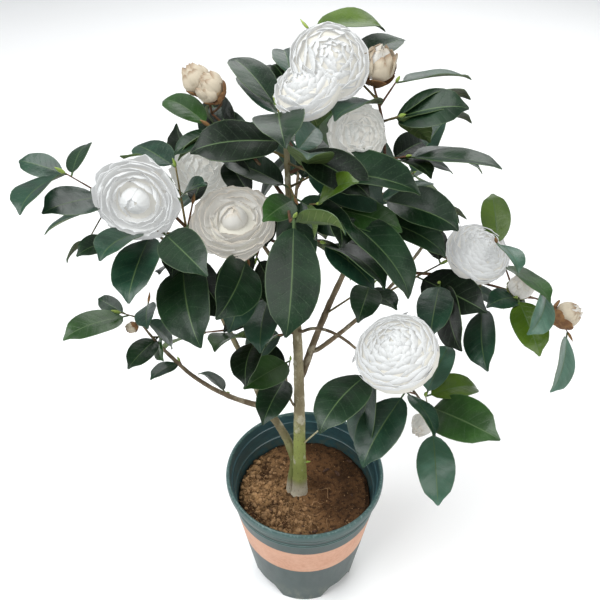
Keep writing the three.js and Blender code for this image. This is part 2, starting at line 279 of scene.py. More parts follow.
class NodeMaker:
    """Makes the nodes of one material."""

    def __init__(self, name: str) -> None:
        """Starts an empty material.

        Args:
            name: Its name.
        """
        self.material = bpy.data.materials.new(name)
        self.material.use_nodes = True
        self.tree = self.material.node_tree
        self.tree.nodes.clear()

    def node(
        self, kind: str, settings: dict | None = None,
        inputs: dict | Sequence = (), output: int | str = 0,
    ) -> Value:
        """Makes a node.

        Args:
            kind: The node's type.
            settings: Properties that are set before the inputs.
            inputs: Values, links or hex colours, by socket name or in order.
            output: Which output is returned.

        Returns:
            The chosen output.
        """
        made = self.tree.nodes.new(kind)
        for key, value in (settings or {}).items():
            setattr(made, key, value)
        pairs = inputs.items() if isinstance(inputs, dict) else enumerate(inputs)
        for key, value in pairs:
            if isinstance(value, Value):
                self.tree.links.new(value.socket, made.inputs[key])
            elif isinstance(value, str):
                made.inputs[key].default_value = (*tone(value), 1.0)
            elif value is not None:
                made.inputs[key].default_value = value
        return Value(self, made.outputs[output])

    def coordinates(self) -> Value:
        """Returns the Object coordinates."""
        return self.node("ShaderNodeTexCoord", output="Object")

    def axis(self, name: str, vector: Value | None = None) -> Value:
        """Returns X, Y or Z of a vector, or of the Object coordinates."""
        return self.node("ShaderNodeSeparateXYZ", None, (vector or self.coordinates(),), name)

    def uv(self) -> tuple[Value, Value]:
        """Returns the places along and across a blade."""
        vector = self.node("ShaderNodeUVMap", {"uv_map": BLADE_LAYER})
        return self.axis("X", vector), self.axis("Y", vector)

    def scaled(self, stretch: Sequence[float]) -> Value:
        """Returns the Object coordinates, scaled on each axis."""
        inputs = {"Vector": self.coordinates(), "Scale": tuple(stretch)}
        return self.node("ShaderNodeMapping", None, inputs)

    def noise(self, scale: float, detail: float = 3.0, stretch: Sequence[float] = (1, 1, 1),
              distortion: float = 0.0) -> Value:
        """Returns smooth noise over the Object coordinates.

        Args:
            scale: Noise scale, per metre.
            detail: Number of octaves.
            stretch: Scale of each axis.
            distortion: How far the noise is warped.

        Returns:
            The noise, about 0 to 1.
        """
        return self.node("ShaderNodeTexNoise", None, {
            "Vector": self.scaled(stretch), "Scale": scale, "Detail": detail,
            "Roughness": 0.55, "Distortion": distortion})

    def blend(self, share: Value | float, first: Value | str, second: Value | str) -> Value:
        """Returns a mix of two colours, with that share of the second."""
        return self.node("ShaderNodeMix", {"data_type": "RGBA", "clamp_factor": True},
                         {0: share, 6: first, 7: second}, 2)

    def bump(self, height: Value, distance: float) -> Value:
        """Returns a normal from a height that is measured in the given distance."""
        return self.node("ShaderNodeBump", None, {"Height": height, "Distance": distance}, "Normal")

    def finish(self, colour: Value, roughness: Value | float, normal: Value | None = None,
               **fixed: float | str) -> Material:
        """Closes the material with its surface shader.

        Args:
            colour: Base colour.
            roughness: Roughness.
            normal: Normal from a Bump node.
            **fixed: Other sockets of the shader, with _ for a space.

        Returns:
            The material.
        """
        inputs = {"Base Color": colour, "Roughness": roughness, "Normal": normal}
        inputs |= {key.replace("_", " "): value for key, value in fixed.items()}
        shader = self.node("ShaderNodeBsdfPrincipled", None, inputs)
        out = self.tree.nodes.new("ShaderNodeOutputMaterial")
        self.tree.links.new(shader.socket, out.inputs[0])
        return self.material


# ---- finishes ----

@dataclass(frozen=True)
class PotPlastic:
    """Moulded polypropylene with a plain printed band. Colours are hex codes."""

    ribs: tuple[float, ...]
    outside: tuple[str, str] = ("193633", "213533")
    rim: str = "44625f"
    # Colour of the painted highlight along the rib crests.
    rib_highlight: str = "6f8f8a"
    # Colour of the pale scuffs on the lip, partly wear and partly painted highlight.
    scuff_and_highlight: str = "7d9490"
    dust: str = "8a8a78"
    inside: tuple[str, str] = ("2c4a50", "35575c")
    stain: str = "5a5a48"
    band: tuple[str, str] = ("c6957a", "b98669")
    faded: str = "d0a48a"
    band_low: float = 88 * MM
    band_high: float = 136 * MM
    band_edge: float = 1.2 * MM
    rim_low: float = 168 * MM
    lip: float = 182.5 * MM

    def material(self) -> Material:
        """Makes the finish of the outside, the rim and the band, with a painted highlight on the
        ribs and, in part, on the lip.

        Returns:
            The material.
        """
        make = NodeMaker("pot_plastic")
        height = make.axis("Z")
        cloud = make.noise(16, 4, (1, 1, 0.6))
        smear = make.noise(90, 3, (1, 1, 0.25))
        plastic = make.blend(cloud.ramp(0.35, 0.7), *self.outside)
        rim = height.ramp(self.rim_low, self.rim_low + 16 * MM)
        plastic = make.blend(rim * 0.55, plastic, self.rim)
        # Painted highlight: a pale line along the crest of each rib, broken up by the smear noise.
        for rib in self.ribs:
            rib_highlight = 1 - (height - rib).absolute().ramp(0.3 * MM, 0.9 * MM)
            plastic = make.blend(rib_highlight * smear * 0.9, plastic, self.rib_highlight)
        # Pale scuffs on top of the lip: partly wear, partly painted highlight.
        scuff_and_highlight_mask = height.ramp(self.lip, self.lip + 2 * MM) * make.noise(340, 4).ramp(0.5, 0.62)
        plastic = make.blend(scuff_and_highlight_mask * 0.3, plastic, self.scuff_and_highlight)
        dust = (1 - height.ramp(0.0, 50 * MM)) * smear.ramp(0.4, 0.75) * 0.5
        plastic = make.blend(dust, plastic, self.dust)
        ragged = make.noise(220, 2) * (0.7 * MM)
        low = (height + ragged).ramp(self.band_low, self.band_low + self.band_edge)
        high = (height - ragged).ramp(self.band_high, self.band_high + self.band_edge)
        printed = low * (1 - high)
        paper = make.blend(make.noise(260, 4).ramp(0.3, 0.75), *self.band)
        paper = make.blend(make.noise(30, 2).ramp(0.35, 0.7) * 0.4, paper, self.faded)
        colour = make.blend(printed, plastic, paper)
        rough = 0.34 + smear * 0.16 + printed * 0.18
        relief = make.noise(900, 2) * 0.25 + smear * 0.75
        return make.finish(colour, rough, make.bump(relief, 0.18 * MM), Specular_IOR_Level=0.5)

    def inner_material(self) -> Material:
        """Makes the glossier, darker inside of the pot.

        Returns:
            The material.
        """
        make = NodeMaker("pot_inside")
        wash = make.noise(60, 3, (1, 1, 3))
        colour = make.blend(wash.ramp(0.3, 0.7), *self.inside)
        stain = (1 - make.axis("Z").ramp(142 * MM, 166 * MM)) * make.noise(150, 3).ramp(0.35, 0.65)
        colour = make.blend(stain * 0.5, colour, self.stain)
        return make.finish(colour, 0.24 + wash * 0.16, make.bump(wash, 0.2 * MM),
                           Coat_Weight=0.25, Coat_Roughness=0.15)


@dataclass(frozen=True)
class SoilFinish:
    """Brown peat and loam, paler where it has dried, with painted shade in its hollows and low
    places.
    """

    damp: tuple[str, str] = ("422b17", "5e4128")
    dry: str = "a8845b"
    grit: str = "c09a70"
    # Colour of the painted shade in hollows.
    hollow_shade: str = "26170b"
    # Colour of the painted shade in the soil's low places.
    painted_crevice_shade: str = "24160b"
    crumb: str = "b8926a"
    level: float = 144 * MM

    def material(self, name: str, lighten: float = 0.0) -> Material:
        """Makes the finish of one part of the soil.

        Args:
            name: The material's name.
            lighten: How far towards dry tan, 0 to 1.

        Returns:
            The material.
        """
        make = NodeMaker(name)
        patch = make.noise(32, 4)
        grain = make.noise(620, 5)
        side = (make.axis("X") * -5.0 + make.axis("Y") * -2.0).ramp(-0.15, 0.4)
        colour = make.blend(patch.ramp(0.34, 0.62), *self.damp)
        colour = make.blend(side * patch.ramp(0.3, 0.6) * 0.8, colour, self.dry)
        # Painted shade: dark blotches, laid at random, that stand for shade in hollows.
        colour = make.blend(make.noise(210, 4).ramp(0.5, 0.62) * 0.75, colour, self.hollow_shade)
        colour = make.blend(grain.ramp(0.56, 0.72) * (0.25 + side * 0.5), colour, self.grit)
        # Painted shade: the soil darkens where it lies low, between the clods.
        painted_crevice_shade = 1 - make.axis("Z").ramp(self.level - 4 * MM, self.level - 0.2 * MM)
        colour = make.blend(painted_crevice_shade * 0.65, colour, self.painted_crevice_shade)
        colour = make.blend(lighten, colour, self.crumb)
        return make.finish(colour, 0.95, make.bump(grain, 1.2 * MM), Specular_IOR_Level=0.2)


@dataclass(frozen=True)
class BarkFinish:
    """Smooth camellia bark, mottled with lichen and pores, and green near the soil."""

    name: str
    ground: str
    shade: str
    lichen: str
    lichen_share: float
    green: str = "8f9a5a"
    green_low: float = 0.0
    green_high: float = 0.0
    foot: str = "bdb6a4"
    pore: str = "5b4a36"

    def material(self) -> Material:
        """Makes the bark's finish.

        Returns:
            The material.
        """
        make = NodeMaker(self.name)
        mottle = make.noise(55, 4, (1, 1, 0.45), 0.4)
        fine = make.noise(420, 4, (1, 1, 0.35))
        spots = make.node("ShaderNodeTexVoronoi", {"feature": "F1"},
                          {"Vector": make.scaled((1, 1, 0.55)), "Scale": 340.0})
        pores = 1 - spots.ramp(0.12, 0.3)
        colour = make.blend(mottle.ramp(0.36, 0.62), self.ground, self.shade)
        if self.green_high > self.green_low:
            height = make.axis("Z")
            band = height.ramp(self.green_low, self.green_low + 20 * MM)
            band = band * (1 - height.ramp(self.green_high - 60 * MM, self.green_high))
            colour = make.blend(band * 0.75, colour, self.green)
            foot = 1 - height.ramp(self.green_low - 4 * MM, self.green_low + 16 * MM)
            colour = make.blend(foot * 0.8, colour, self.foot)
        crust = make.noise(95, 5, (1, 1, 0.6)).ramp(0.62 - 0.16 * self.lichen_share, 0.66)
        colour = make.blend(crust * 0.7, colour, self.lichen)
        colour = make.blend(pores * 0.45, colour, self.pore)
        relief = mottle * 0.5 + fine * 0.3 + crust * 0.3 - pores * 0.35
        return make.finish(colour, 0.62 + fine * 0.2, make.bump(relief, 0.9 * MM),
                           Specular_IOR_Level=0.3)


class LeafTint(Enum):
    """Upper-side colours of the leaves, dark and light, and how much each reflects."""

    BLUE = ("102a1d", "1c3d2b", 0.4)
    DARK = ("0b2010", "16301a", 0.28)
    # Painted shade: a darker, duller copy of the leaf finish, for leaves that stand in shade.
    DEEP = ("071108", "0d1b0d", 0.18)
    GREEN = ("1b3811", "294a1a", 0.36)
    BRIGHT = ("38500f", "486114", 0.38)
    # Partly painted sheen: a paler blue-green that stands in part for the silvery sheen such leaves
    # show.
    TEAL = ("31513f", "486b5a", 0.5)


BLUE, DARK, DEEP, GREEN, BRIGHT, TEAL = LeafTint


class UnderTint(Enum):
    """Underside colours of the leaves, dark and light."""

    OLIVE = ("44582c", "546835")
    DULL = ("3a432c", "4b5338")


@dataclass(frozen=True)
class LeafFinish:
    """Leathery leaf blade: glossy above, matt below, with a pale midrib."""

    side_veins: float = 8.0
    vein_slant: float = 1.35
    net: str = "4a6044"
    vein: str = "5d7558"
    midline: str = "4d6848"
    # Colour of the pale margin, partly the leaf's own and partly painted highlight.
    rim: str = "6f8560"
    under_vein: str = "8b9c5e"
    rib: tuple[str, str] = ("4b6039", "435832")

    def lines(self, make: NodeMaker) -> tuple[Value, Value]:
        """Finds the blade's midrib and side veins.

        Args:
            make: The maker of the material that shows them.

        Returns:
            The distances from the midrib and from the nearest side vein, 0 to 1.
        """
        along, across = make.uv()
        out = (across - 0.5).absolute() * 2.0
        place = (along * self.side_veins - out * self.vein_slant).fraction()
        return out, (place - 0.5).absolute() * 2.0

    def top(self, tint: LeafTint) -> Material:
        """Makes the finish of the upper side.

        Args:
            tint: Its tint.

        Returns:
            The material.
        """
        make = NodeMaker(f"leaf_top_{tint.name.lower()}")
        dark, light, shine = tint.value
        out, gap = self.lines(make)
        vein = (1 - gap.ramp(0.0, 0.1)) * (1 - out.ramp(0.7, 0.95)) * out.ramp(0.0, 0.1)
        net = make.noise(700, 4)
        cloud = make.noise(34, 3)
        colour = make.blend(cloud.ramp(0.36, 0.66), dark, light)
        colour = make.blend(net.ramp(0.56, 0.72) * 0.25, colour, self.net)
        colour = make.blend(vein * 0.12, colour, self.vein)
        colour = make.blend((1 - out.ramp(0.0, 0.08)) * 0.25, colour, self.midline)
        # A thin pale margin along the blade's edge: partly its own colour, partly painted
        # highlight.
        colour = make.blend(out.ramp(0.95, 0.99) * 0.3, colour, self.rim)
        relief = gap.ramp(0.0, 1.0) * 0.05 - vein * 0.06 + net * 0.2 + cloud * 0.6
        rough = 0.2 + cloud * 0.2 + net * 0.1
        return make.finish(colour, rough, make.bump(relief, 1 * MM), Specular_IOR_Level=shine,
                           Coat_Weight=0.05, Coat_Roughness=0.16)

    def under(self, tint: UnderTint) -> Material:
        """Makes the finish of the underside.

        Args:
            tint: Its tint.

        Returns:
            The material.
        """
        make = NodeMaker(f"leaf_under_{tint.name.lower()}")
        out, gap = self.lines(make)
        vein = (1 - gap.ramp(0.0, 0.25)) * (1 - out.ramp(0.75, 0.98))
        cloud = make.noise(50, 3)
        colour = make.blend(cloud.ramp(0.36, 0.66), *tint.value)
        colour = make.blend(vein * 0.4, colour, self.under_vein)
        relief = vein * 0.6 + make.noise(700, 3) * 0.2
        return make.finish(colour, 0.55 + cloud * 0.1, make.bump(relief, 0.8 * MM),
                           Specular_IOR_Level=0.35)

    def midrib(self) -> Material:
        """Makes the finish of the pale rib and the stalk.

        Returns:
            The material.
        """
        make = NodeMaker("leaf_midrib")
        cloud = make.noise(80, 2)
        colour = make.blend(cloud.ramp(0.35, 0.65), *self.rib)
        return make.finish(colour, 0.42 + cloud * 0.1, make.bump(cloud, 0.3 * MM),
                           Specular_IOR_Level=0.4)


class PetalTint(Enum):
    """Petal colours: heart, blade and rim, and a painted glow that they give off."""

    FRESH = ("b0ac9f", "aeafad", "bcbebe", "8a8b8c")
    CREAM = ("aca99c", "acaaa4", "a59883", "7c7b78")
    AGED = ("a5a199", "acadaa", "a8a49e", "888986")
    SPENT = ("957952", "b0a591", "755537", "4c473f")


@dataclass(frozen=True)
class PetalFinish:
    """Thin waxy petal with fine veins, and a painted glow that stands in for light passing through
    it.
    """

    tint: PetalTint
    vein: str = "94948c"

    def material(self) -> Material:
        """Makes the petal's finish.

        Returns:
            The material.
        """
        make = NodeMaker(f"petal_{self.tint.name.lower()}")
        along, across = make.uv()
        heart, blade, rim, glow = self.tint.value
        cloud = make.noise(60, 3)
        streak = ((across * 34.0 + cloud * 2.0).sine() * 0.5 + 0.5) * along.ramp(0.1, 0.6)
        colour = make.blend(along.ramp(0.05, 0.62), heart, blade)
        colour = make.blend(along.ramp(0.86, 1.0) * (0.35 + cloud * 0.65), colour, rim)
        colour = make.blend(streak * 0.06, colour, self.vein)
        relief = streak * 0.25 + cloud * 0.75
        return make.finish(colour, 0.5 + cloud * 0.12, make.bump(relief, 0.5 * MM),
                           # Painted light: every petal gives off a steady glow, which stands in for
                           # light passing through it and lifts its shade.
                           Specular_IOR_Level=0.3, Emission_Color=glow, Emission_Strength=1.0)


@dataclass(frozen=True)
class PlainFinish:
    """A mottled matt finish of two close colours, for sepals, buds and litter."""

    name: str
    first: str
    second: str
    roughness: float = 0.55
    scale: float = 160.0

    def material(self) -> Material:
        """Makes the finish.

        Returns:
            The material.
        """
        make = NodeMaker(self.name)
        cloud = make.noise(self.scale, 4)
        colour = make.blend(cloud.ramp(0.38, 0.62), self.first, self.second)
        return make.finish(colour, self.roughness + cloud * 0.1, make.bump(cloud, 0.6 * MM),
                           Specular_IOR_Level=0.35)


# ---- meshes ----

def new_mesh(bm: BMesh, name: str) -> Mesh:
    """Turns a bmesh into a mesh and frees it.

    Args:
        bm: The bmesh.
        name: The mesh's name.

    Returns:
        The mesh.
    """
    mesh = bpy.data.meshes.new(name)
    bm.to_mesh(mesh)
    bm.free()
    return mesh


def new_object(name: str, data: ID) -> Object:
    """Puts a new object in the scene.

    Args:
        name: Its name.
        data: Its mesh, lamp or camera.

    Returns:
        The object.
    """
    made = bpy.data.objects.new(name, data)
    bpy.context.scene.collection.objects.link(made)
    return made


def settle(
    bm: BMesh, name: str, materials: Sequence[Material],
    sharp: float | None = None,
) -> Object:
    """Turns a bmesh into a finished piece that rides on the plant's one body.

    Args:
        bm: The shape; freed here.
        name: The piece's name.
        materials: Its materials, in the order of the faces' indices.
        sharp: Edges folded more than this many degrees stay crisp; None leaves them.

    Returns:
        The new object.
    """
    for face in bm.faces:
        face.smooth = True
    if sharp is not None:
        limit = math.radians(sharp)
        for edge in bm.edges:
            edge.smooth = not edge.is_manifold or edge.calc_face_angle(0.0) < limit
    mesh = new_mesh(bm, name)
    for material in materials:
        mesh.materials.append(material)
    piece = new_object(name, mesh)
    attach(piece, "root")
    LOG.info("%s: %d faces", name, len(mesh.polygons))
    return piece


def spun(section: Sequence[tuple[float, float]], steps: int) -> BMesh:
    """Spins a section that starts and ends on the vertical axis into a closed solid.

    Args:
        section: Distances from the axis and heights.
        steps: Number of steps round.

    Returns:
        The solid.
    """
    bm = bmesh.new()
    line = [bm.verts.new((reach, 0.0, height)) for reach, height in section]
    edges = [bm.edges.new(pair) for pair in zip(line, line[1:])]
    bmesh.ops.spin(bm, geom=line + edges, cent=(0, 0, 0), axis=(0, 0, 1),
                   angle=FULL_TURN, steps=steps, use_merge=True)
    bmesh.ops.remove_doubles(bm, verts=bm.verts, dist=MERGE_GAP)
    bmesh.ops.recalc_face_normals(bm, faces=bm.faces)
    return bm


def tube(
    bm: BMesh, path: Path, sides: int,
    relief: Relief | None = None, index: int = 0,
) -> None:
    """Adds a closed round tube along a path.

    Args:
        bm: The bmesh that takes it.
        path: Centreline and radii, foot to tip.
        sides: Number of sides.
        relief: Extra radius from the point, the angle and the running length.
        index: Material index.
    """
    ring = list(bmesh.ops.create_circle(bm, cap_ends=False, segments=sides, radius=1.0)["verts"])
    edges = list({e for v in ring for e in v.link_edges})
    foot_edges = list(edges)
    side = np.cross(path.points[1] - path.points[0], ASKEW)
    runs = path.lengths()
    angles = [FULL_TURN * i / sides for i in range(sides)]
    made = set()
    for step, (centre, radius) in enumerate(zip(path.points, path.radii)):
        near, far = max(step - 1, 0), min(step + 1, len(path.points) - 1)
        way = unit(path.points[far] - path.points[near])
        side = unit(side - way * (side @ way))
        up = np.cross(way, side)
        if step:
            grown = bmesh.ops.extrude_edge_only(bm, edges=edges)["geom"]
            made.update(g for g in grown if isinstance(g, BMFace))
            fresh = {g for g in grown if isinstance(g, BMVert)}
            ring = [next(e.other_vert(v) for e in v.link_edges if e.other_vert(v) in fresh)
                    for v in ring]
            edges = [g for g in grown if isinstance(g, BMEdge)
                     and g.verts[0] in fresh and g.verts[1] in fresh]
        for vert, angle in zip(ring, angles):
            spoke = side * math.cos(angle) + up * math.sin(angle)
            reach = radius
            if relief is not None:
                reach += relief(centre + spoke * radius, angle, runs[step])
            vert.co = Vector(centre + spoke * reach)
    for loop in (foot_edges, edges):
        made.update(bmesh.ops.edgeloop_fill(bm, edges=loop)["faces"])
    for face in made:
        face.material_index = index
    bmesh.ops.recalc_face_normals(bm, faces=list(made))


def copy_in(bm: BMesh, shape: Mesh, place: Matrix, index: int) -> None:
    """Adds a placed copy of a small mesh.

    Args:
        bm: The bmesh that takes it.
        shape: The mesh that is copied.
        place: Where the copy goes.
        index: Its material index.
    """
    verts, faces = len(bm.verts), len(bm.faces)
    bm.from_mesh(shape)
    bm.verts.ensure_lookup_table()
    bm.faces.ensure_lookup_table()
    bmesh.ops.transform(bm, matrix=place, verts=bm.verts[verts:])
    for face in bm.faces[faces:]:
        face.material_index = index


class Sheet:
    """A thin closed sheet, such as a leaf or petal, that is bent by formula and joined."""

    def __init__(self, alongs: Sequence[float], acrosses: Sequence[float],
                 roles: Callable[[float, float, bool, bool], int]) -> None:
        """Makes the flat sheet with its two sides and its rim.

        Args:
            alongs: Where its rows lie, from foot to tip.
            acrosses: Where its columns lie, from -1 to 1.
            roles: Gives a face's role from its place, its side and whether it is rim.
        """
        bm = bmesh.new()
        rows, columns = len(alongs) - 1, len(acrosses) - 1
        bmesh.ops.create_grid(bm, x_segments=rows, y_segments=columns, size=1.0)
        for vert in bm.verts:
            row = round((vert.co.x + 1) / 2 * rows)
            column = round((vert.co.y + 1) / 2 * columns)
            vert.co = Vector((alongs[row], acrosses[column], 0.0))
        upper = set(bm.faces)
        made = bmesh.ops.duplicate(bm, geom=list(bm.faces))["geom"]
        lower = [g for g in made if isinstance(g, BMFace)]
        for vert in (g for g in made if isinstance(g, BMVert)):
            vert.co.z = -1.0
        bmesh.ops.reverse_faces(bm, faces=lower)
        bmesh.ops.bridge_loops(bm, edges=[e for e in bm.edges if e.is_boundary])
        rim = set(bm.faces) - upper - set(lower)
        bmesh.ops.recalc_face_normals(bm, faces=list(rim))
        layer = bm.loops.layers.uv.new(BLADE_LAYER)
        for face in bm.faces:
            face.smooth = True
            middle = face.calc_center_median()
            face.material_index = roles(middle.x, middle.y, face in upper, face in rim)
            for loop in face.loops:
                loop[layer].uv = (loop.vert.co.x, (loop.vert.co.y + 1) / 2)
        for edge in bm.edges:
            edge.smooth = len({f in rim for f in edge.link_faces}) == 1
        self.mesh = new_mesh(bm, "sheet")
        flat = np.array([v.co for v in self.mesh.vertices], float)
        self.along, self.across, self.under = flat[:, 0], flat[:, 1], flat[:, 2] < -0.5
        self.roles = np.array([p.material_index for p in self.mesh.polygons])

    def join(self, bm: BMesh, points: np.ndarray, materials: Sequence[int]) -> None:
        """Adds the sheet in a new shape.

        Args:
            bm: The bmesh that takes it.
            points: A place for each vertex.
            materials: The material index for each role.
        """
        self.mesh.vertices.foreach_set("co", points.astype(np.float32).ravel())
        indices = np.array(materials, np.int32)[self.roles]
        self.mesh.polygons.foreach_set("material_index", indices)
        bm.from_mesh(self.mesh)


# ---- pot and soil ----

@dataclass
class Pot:
    """Round nursery pot with a rolled rim, stepped inside and four arched cut-outs."""

    height: float = 186 * MM
    foot_radius: float = 67 * MM
    neck_radius: float = 94 * MM
    neck_height: float = 174 * MM
    rim_radius: float = 97.5 * MM
    thickness: float = 2.5 * MM
    ledges: tuple[float, ...] = (172 * MM, 153 * MM)
    ledge_depth: float = 1.2 * MM
    rib_heights: tuple[float, ...] = (169 * MM, 160.5 * MM, 156.5 * MM)
    rib_proud: float = 0.7 * MM
    rib_reach: float = 1.3 * MM
    rib_flat: float = 0.4 * MM
    well_radius: float = 50 * MM
    gutter_height: float = 24 * MM
    floor: float = 2.8 * MM
    arch_bearings: tuple[float, ...] = (42, 132, 222, 312)
    arch_width: float = 55 * MM
    arch_top_width: float = 34 * MM
    arch_height: float = 22 * MM
    arch_depth: float = 22 * MM
    arch_below: float = 2 * MM
    arch_round: float = 4 * MM
    drains: int = 8
    drain_radius: float = 4.5 * MM
    spin_steps: int = 144
    crisp: float = 32.0

    def wall(self, height: float) -> float:
        """Returns the outer radius at a height."""
        return mix(self.foot_radius, self.neck_radius, height / self.neck_height)

    def foot(self) -> list[tuple[float, float]]:
        """Lays out the section of the underside: the well, the gutter and the foot ring.

        Returns:
            Distances from the axis and heights.
        """
        well, gutter, foot = self.well_radius, self.gutter_height, self.foot_radius
        inner = foot - self.thickness
        return [
            (0.0, 0.0), (well - 1 * MM, 0.0), (well, 1 * MM), (well, gutter),
            (self.wall(gutter) - self.thickness, gutter), (inner + 0.4 * MM, 0.4 * MM),
            (inner + 0.8 * MM, 0.0), (foot - 0.5 * MM, 0.0), (foot, 0.5 * MM),
        ]

    def outside(self) -> list[tuple[float, float]]:
        """Lays out the section of the wall with its ribs, from low to high.

        Returns:
            Distances from the axis and heights.
        """
        points = [(self.wall(h), h) for h in np.linspace(12 * MM, 150 * MM, 12)]
        for rib in reversed(self.rib_heights):
            proud = self.wall(rib) + self.rib_proud
            low, high = rib - self.rib_reach, rib + self.rib_reach
            points += [(self.wall(low), low), (proud, rib - self.rib_flat),
                       (proud, rib + self.rib_flat), (self.wall(high), high)]
        return points

    def rim(self) -> list[tuple[float, float]]:
        """Lays out the section of the rolled rim, from under it over the top.

        Returns:
            Distances from the axis and heights.
        """
        rim, top = self.rim_radius, self.height
        rolled = ((0.0, 3.4), (0.4, 1.7), (1.3, 0.5), (2.4, 0.0), (3.5, 0.4), (4.4, 1.5),
                  (4.8, 3.2))
        under = [
            (self.wall(173 * MM), 173 * MM), (self.wall(174.5 * MM) + 0.6 * MM, 174.3 * MM),
            (rim - 0.9 * MM, 175 * MM), (rim - 0.2 * MM, 176 * MM), (rim, 177.5 * MM),
        ]
        return under + [(rim - back * MM, top - down * MM) for back, down in rolled]

    def inside(self) -> list[tuple[float, float]]:
        """Lays out the section of the stepped inner wall and the floor, from high to low.

        Returns:
            Distances from the axis and heights.
        """
        t, depth, points = self.thickness, self.ledge_depth, []
        for number, ledge in enumerate(self.ledges):
            radius = self.wall(ledge) - t - number * depth * 0.5
            points += [
                (radius + 0.2 * MM, ledge + 3.0 * MM), (radius, ledge + 1.2 * MM),
                (radius - 0.4 * MM, ledge + 0.5 * MM), (radius - depth, ledge - 0.2 * MM),
                (radius - depth, ledge - 2.5 * MM),
            ]
        points += [(self.wall(h) - t - depth, h) for h in (130 * MM, 80 * MM)]
        bottom = self.gutter_height + self.floor
        well = self.well_radius - t
        return points + [(self.wall(bottom) - t, bottom), (well, bottom), (well, self.floor),
                         (0.0, self.floor)]

    def cutter(self) -> Object:
        """Makes the arches and the drain holes.

        Returns:
            The object to take away from the pot.
        """
        bm = bmesh.new()
        for bearing in self.arch_bearings:
            block = bmesh.ops.create_cube(bm, size=1.0)["verts"]
            upper = [vert for vert in block if vert.co.z > 0]
            for vert in block:
                width, height = self.arch_width, -self.arch_below
                if vert in upper:
                    width, height = self.arch_top_width, self.arch_height
                vert.co = Vector((self.foot_radius + vert.co.x * self.arch_depth,
                                  math.copysign(width / 2, vert.co.y), height))
            ends = [e for e in {e for v in upper for e in v.link_edges}
                    if all(v in upper for v in e.verts)
                    and abs(e.verts[0].co.x - e.verts[1].co.x) > MERGE_GAP]
            made = bmesh.ops.bevel(bm, geom=ends, offset=self.arch_round, segments=4,
                                   profile=0.5, affect="EDGES", material=-1)["verts"]
            corners = {v for v in bm.verts if v in made or v in block and v.is_valid}
            turned = Matrix.Rotation(math.radians(bearing), 4, "Z")
            bmesh.ops.transform(bm, matrix=turned, verts=list(corners))
        ring = (self.well_radius + self.wall(self.gutter_height) - self.thickness) / 2
        for number in range(self.drains):
            place = (Matrix.Rotation(FULL_TURN * number / self.drains, 4, "Z")
                     @ Matrix.Translation((ring, 0, self.gutter_height)))
            bmesh.ops.create_cone(
                bm, cap_ends=True, segments=20, radius1=self.drain_radius,
                radius2=self.drain_radius, depth=5 * self.floor, matrix=place)
        return new_object("cutter", new_mesh(bm, "cutter"))

    def build(self) -> None:
        """Spins the pot, takes the cut-outs away and dresses it."""
        section = self.foot() + self.outside() + self.rim() + self.inside()
        body = new_object("pot_body", new_mesh(spun(section, self.spin_steps), "pot_body"))
        cutter = self.cutter()
        cut = body.modifiers.new("cut", "BOOLEAN")
        cut.operation, cut.solver, cut.object = "DIFFERENCE", "EXACT", cutter
        bpy.context.view_layer.update()
        bm = bmesh.new()
        bm.from_mesh(body.evaluated_get(bpy.context.evaluated_depsgraph_get()).to_mesh())
        for spare in (body, cutter):
            bpy.data.objects.remove(spare)
        bmesh.ops.remove_doubles(bm, verts=bm.verts, dist=2 * MERGE_GAP)
        for face in bm.faces:
            middle = face.calc_center_median()
            radius = math.hypot(middle.x, middle.y)
            inner = middle.z > self.floor and radius < self.wall(middle.z) - 1.0 * MM
            under_rim = middle.z < self.height - 2.6 * MM
            face.material_index = int(inner and under_rim and face.normal.z > -0.3)
        finish = PotPlastic(self.rib_heights)
        pot = settle(bm, "pot_shell", [finish.material(), finish.inner_material()],
                     self.crisp)
        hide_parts("pot")


@dataclass
class Soil:
    """The root ball: rough, crumbling peat."""

    radius: float = 83.5 * MM
    top: float = 142.6 * MM
    depth: float = 40 * MM
    spin_steps: int = 150
    rings: int = 56

    def height(self, x: float, y: float) -> float:
        """Returns the height of the surface at a point.

        Args:
            x: Place along X.
            y: Place along Y.

        Returns:
            The height.
        """
        place = Vector((x, y, 0.0))
        rough = smooth_step(-0.06, 0.05, -x - 0.4 * y)
        broad = noise.noise(place * 26.0) * 2.2
        broad += noise.noise(place * 60.0 + Vector((3, 0, 0))) * 1.3
        fine = noise.fractal(place * 190.0, 0.9, 2.1, 4) * mix(1.0, 2.2, rough)
        clod = 0.35 - abs(noise.noise(place * 105.0 + Vector((0, 7, 0))))
        reach = math.hypot(x, y)
        heap = 1.6 * math.exp(-((reach / (22 * MM)) ** 2))
        edge = smooth_step(self.radius - 7 * MM, self.radius, reach) * 3.5
        return self.top + (broad + fine + clod * mix(1.6, 4.2, rough) + heap - edge) * MM

    def build(self) -> None:
        """Spins the root ball, then roughens its top and its edge."""
        low = self.top - self.depth
        section = [(self.radius * (k / self.rings) ** 0.8, self.top)
                   for k in range(self.rings + 1)]
        section += [(self.radius + 0.8 * MM, self.top - 6 * MM), (self.radius - 2.5 * MM, low),
                    (0.0, low)]
        bm = spun(section, self.spin_steps)
        for vert in bm.verts:
            reach = math.hypot(vert.co.x, vert.co.y)
            turn = math.atan2(vert.co.y, vert.co.x)
            if vert.co.z > self.top - 1 * MM:
                vert.co.z = self.height(vert.co.x, vert.co.y)
            if reach > self.radius * 0.9 and vert.co.z > low + 5 * MM:
                ragged = noise.noise(Vector((math.cos(turn) * 4, math.sin(turn) * 4, 0.4)))
                nibble = noise.noise(Vector((math.cos(turn) * 19, math.sin(turn) * 19, 2.0)))
                fade = smooth_step(self.radius * 0.9, self.radius, reach)
                shift = 1 + fade * (ragged * 1.6 + nibble * 1.3 - 0.9) * MM / reach
                vert.co.x *= shift
                vert.co.y *= shift
        ground = settle(bm, "soil_ground", [SoilFinish().material("soil")])
        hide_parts("soil")


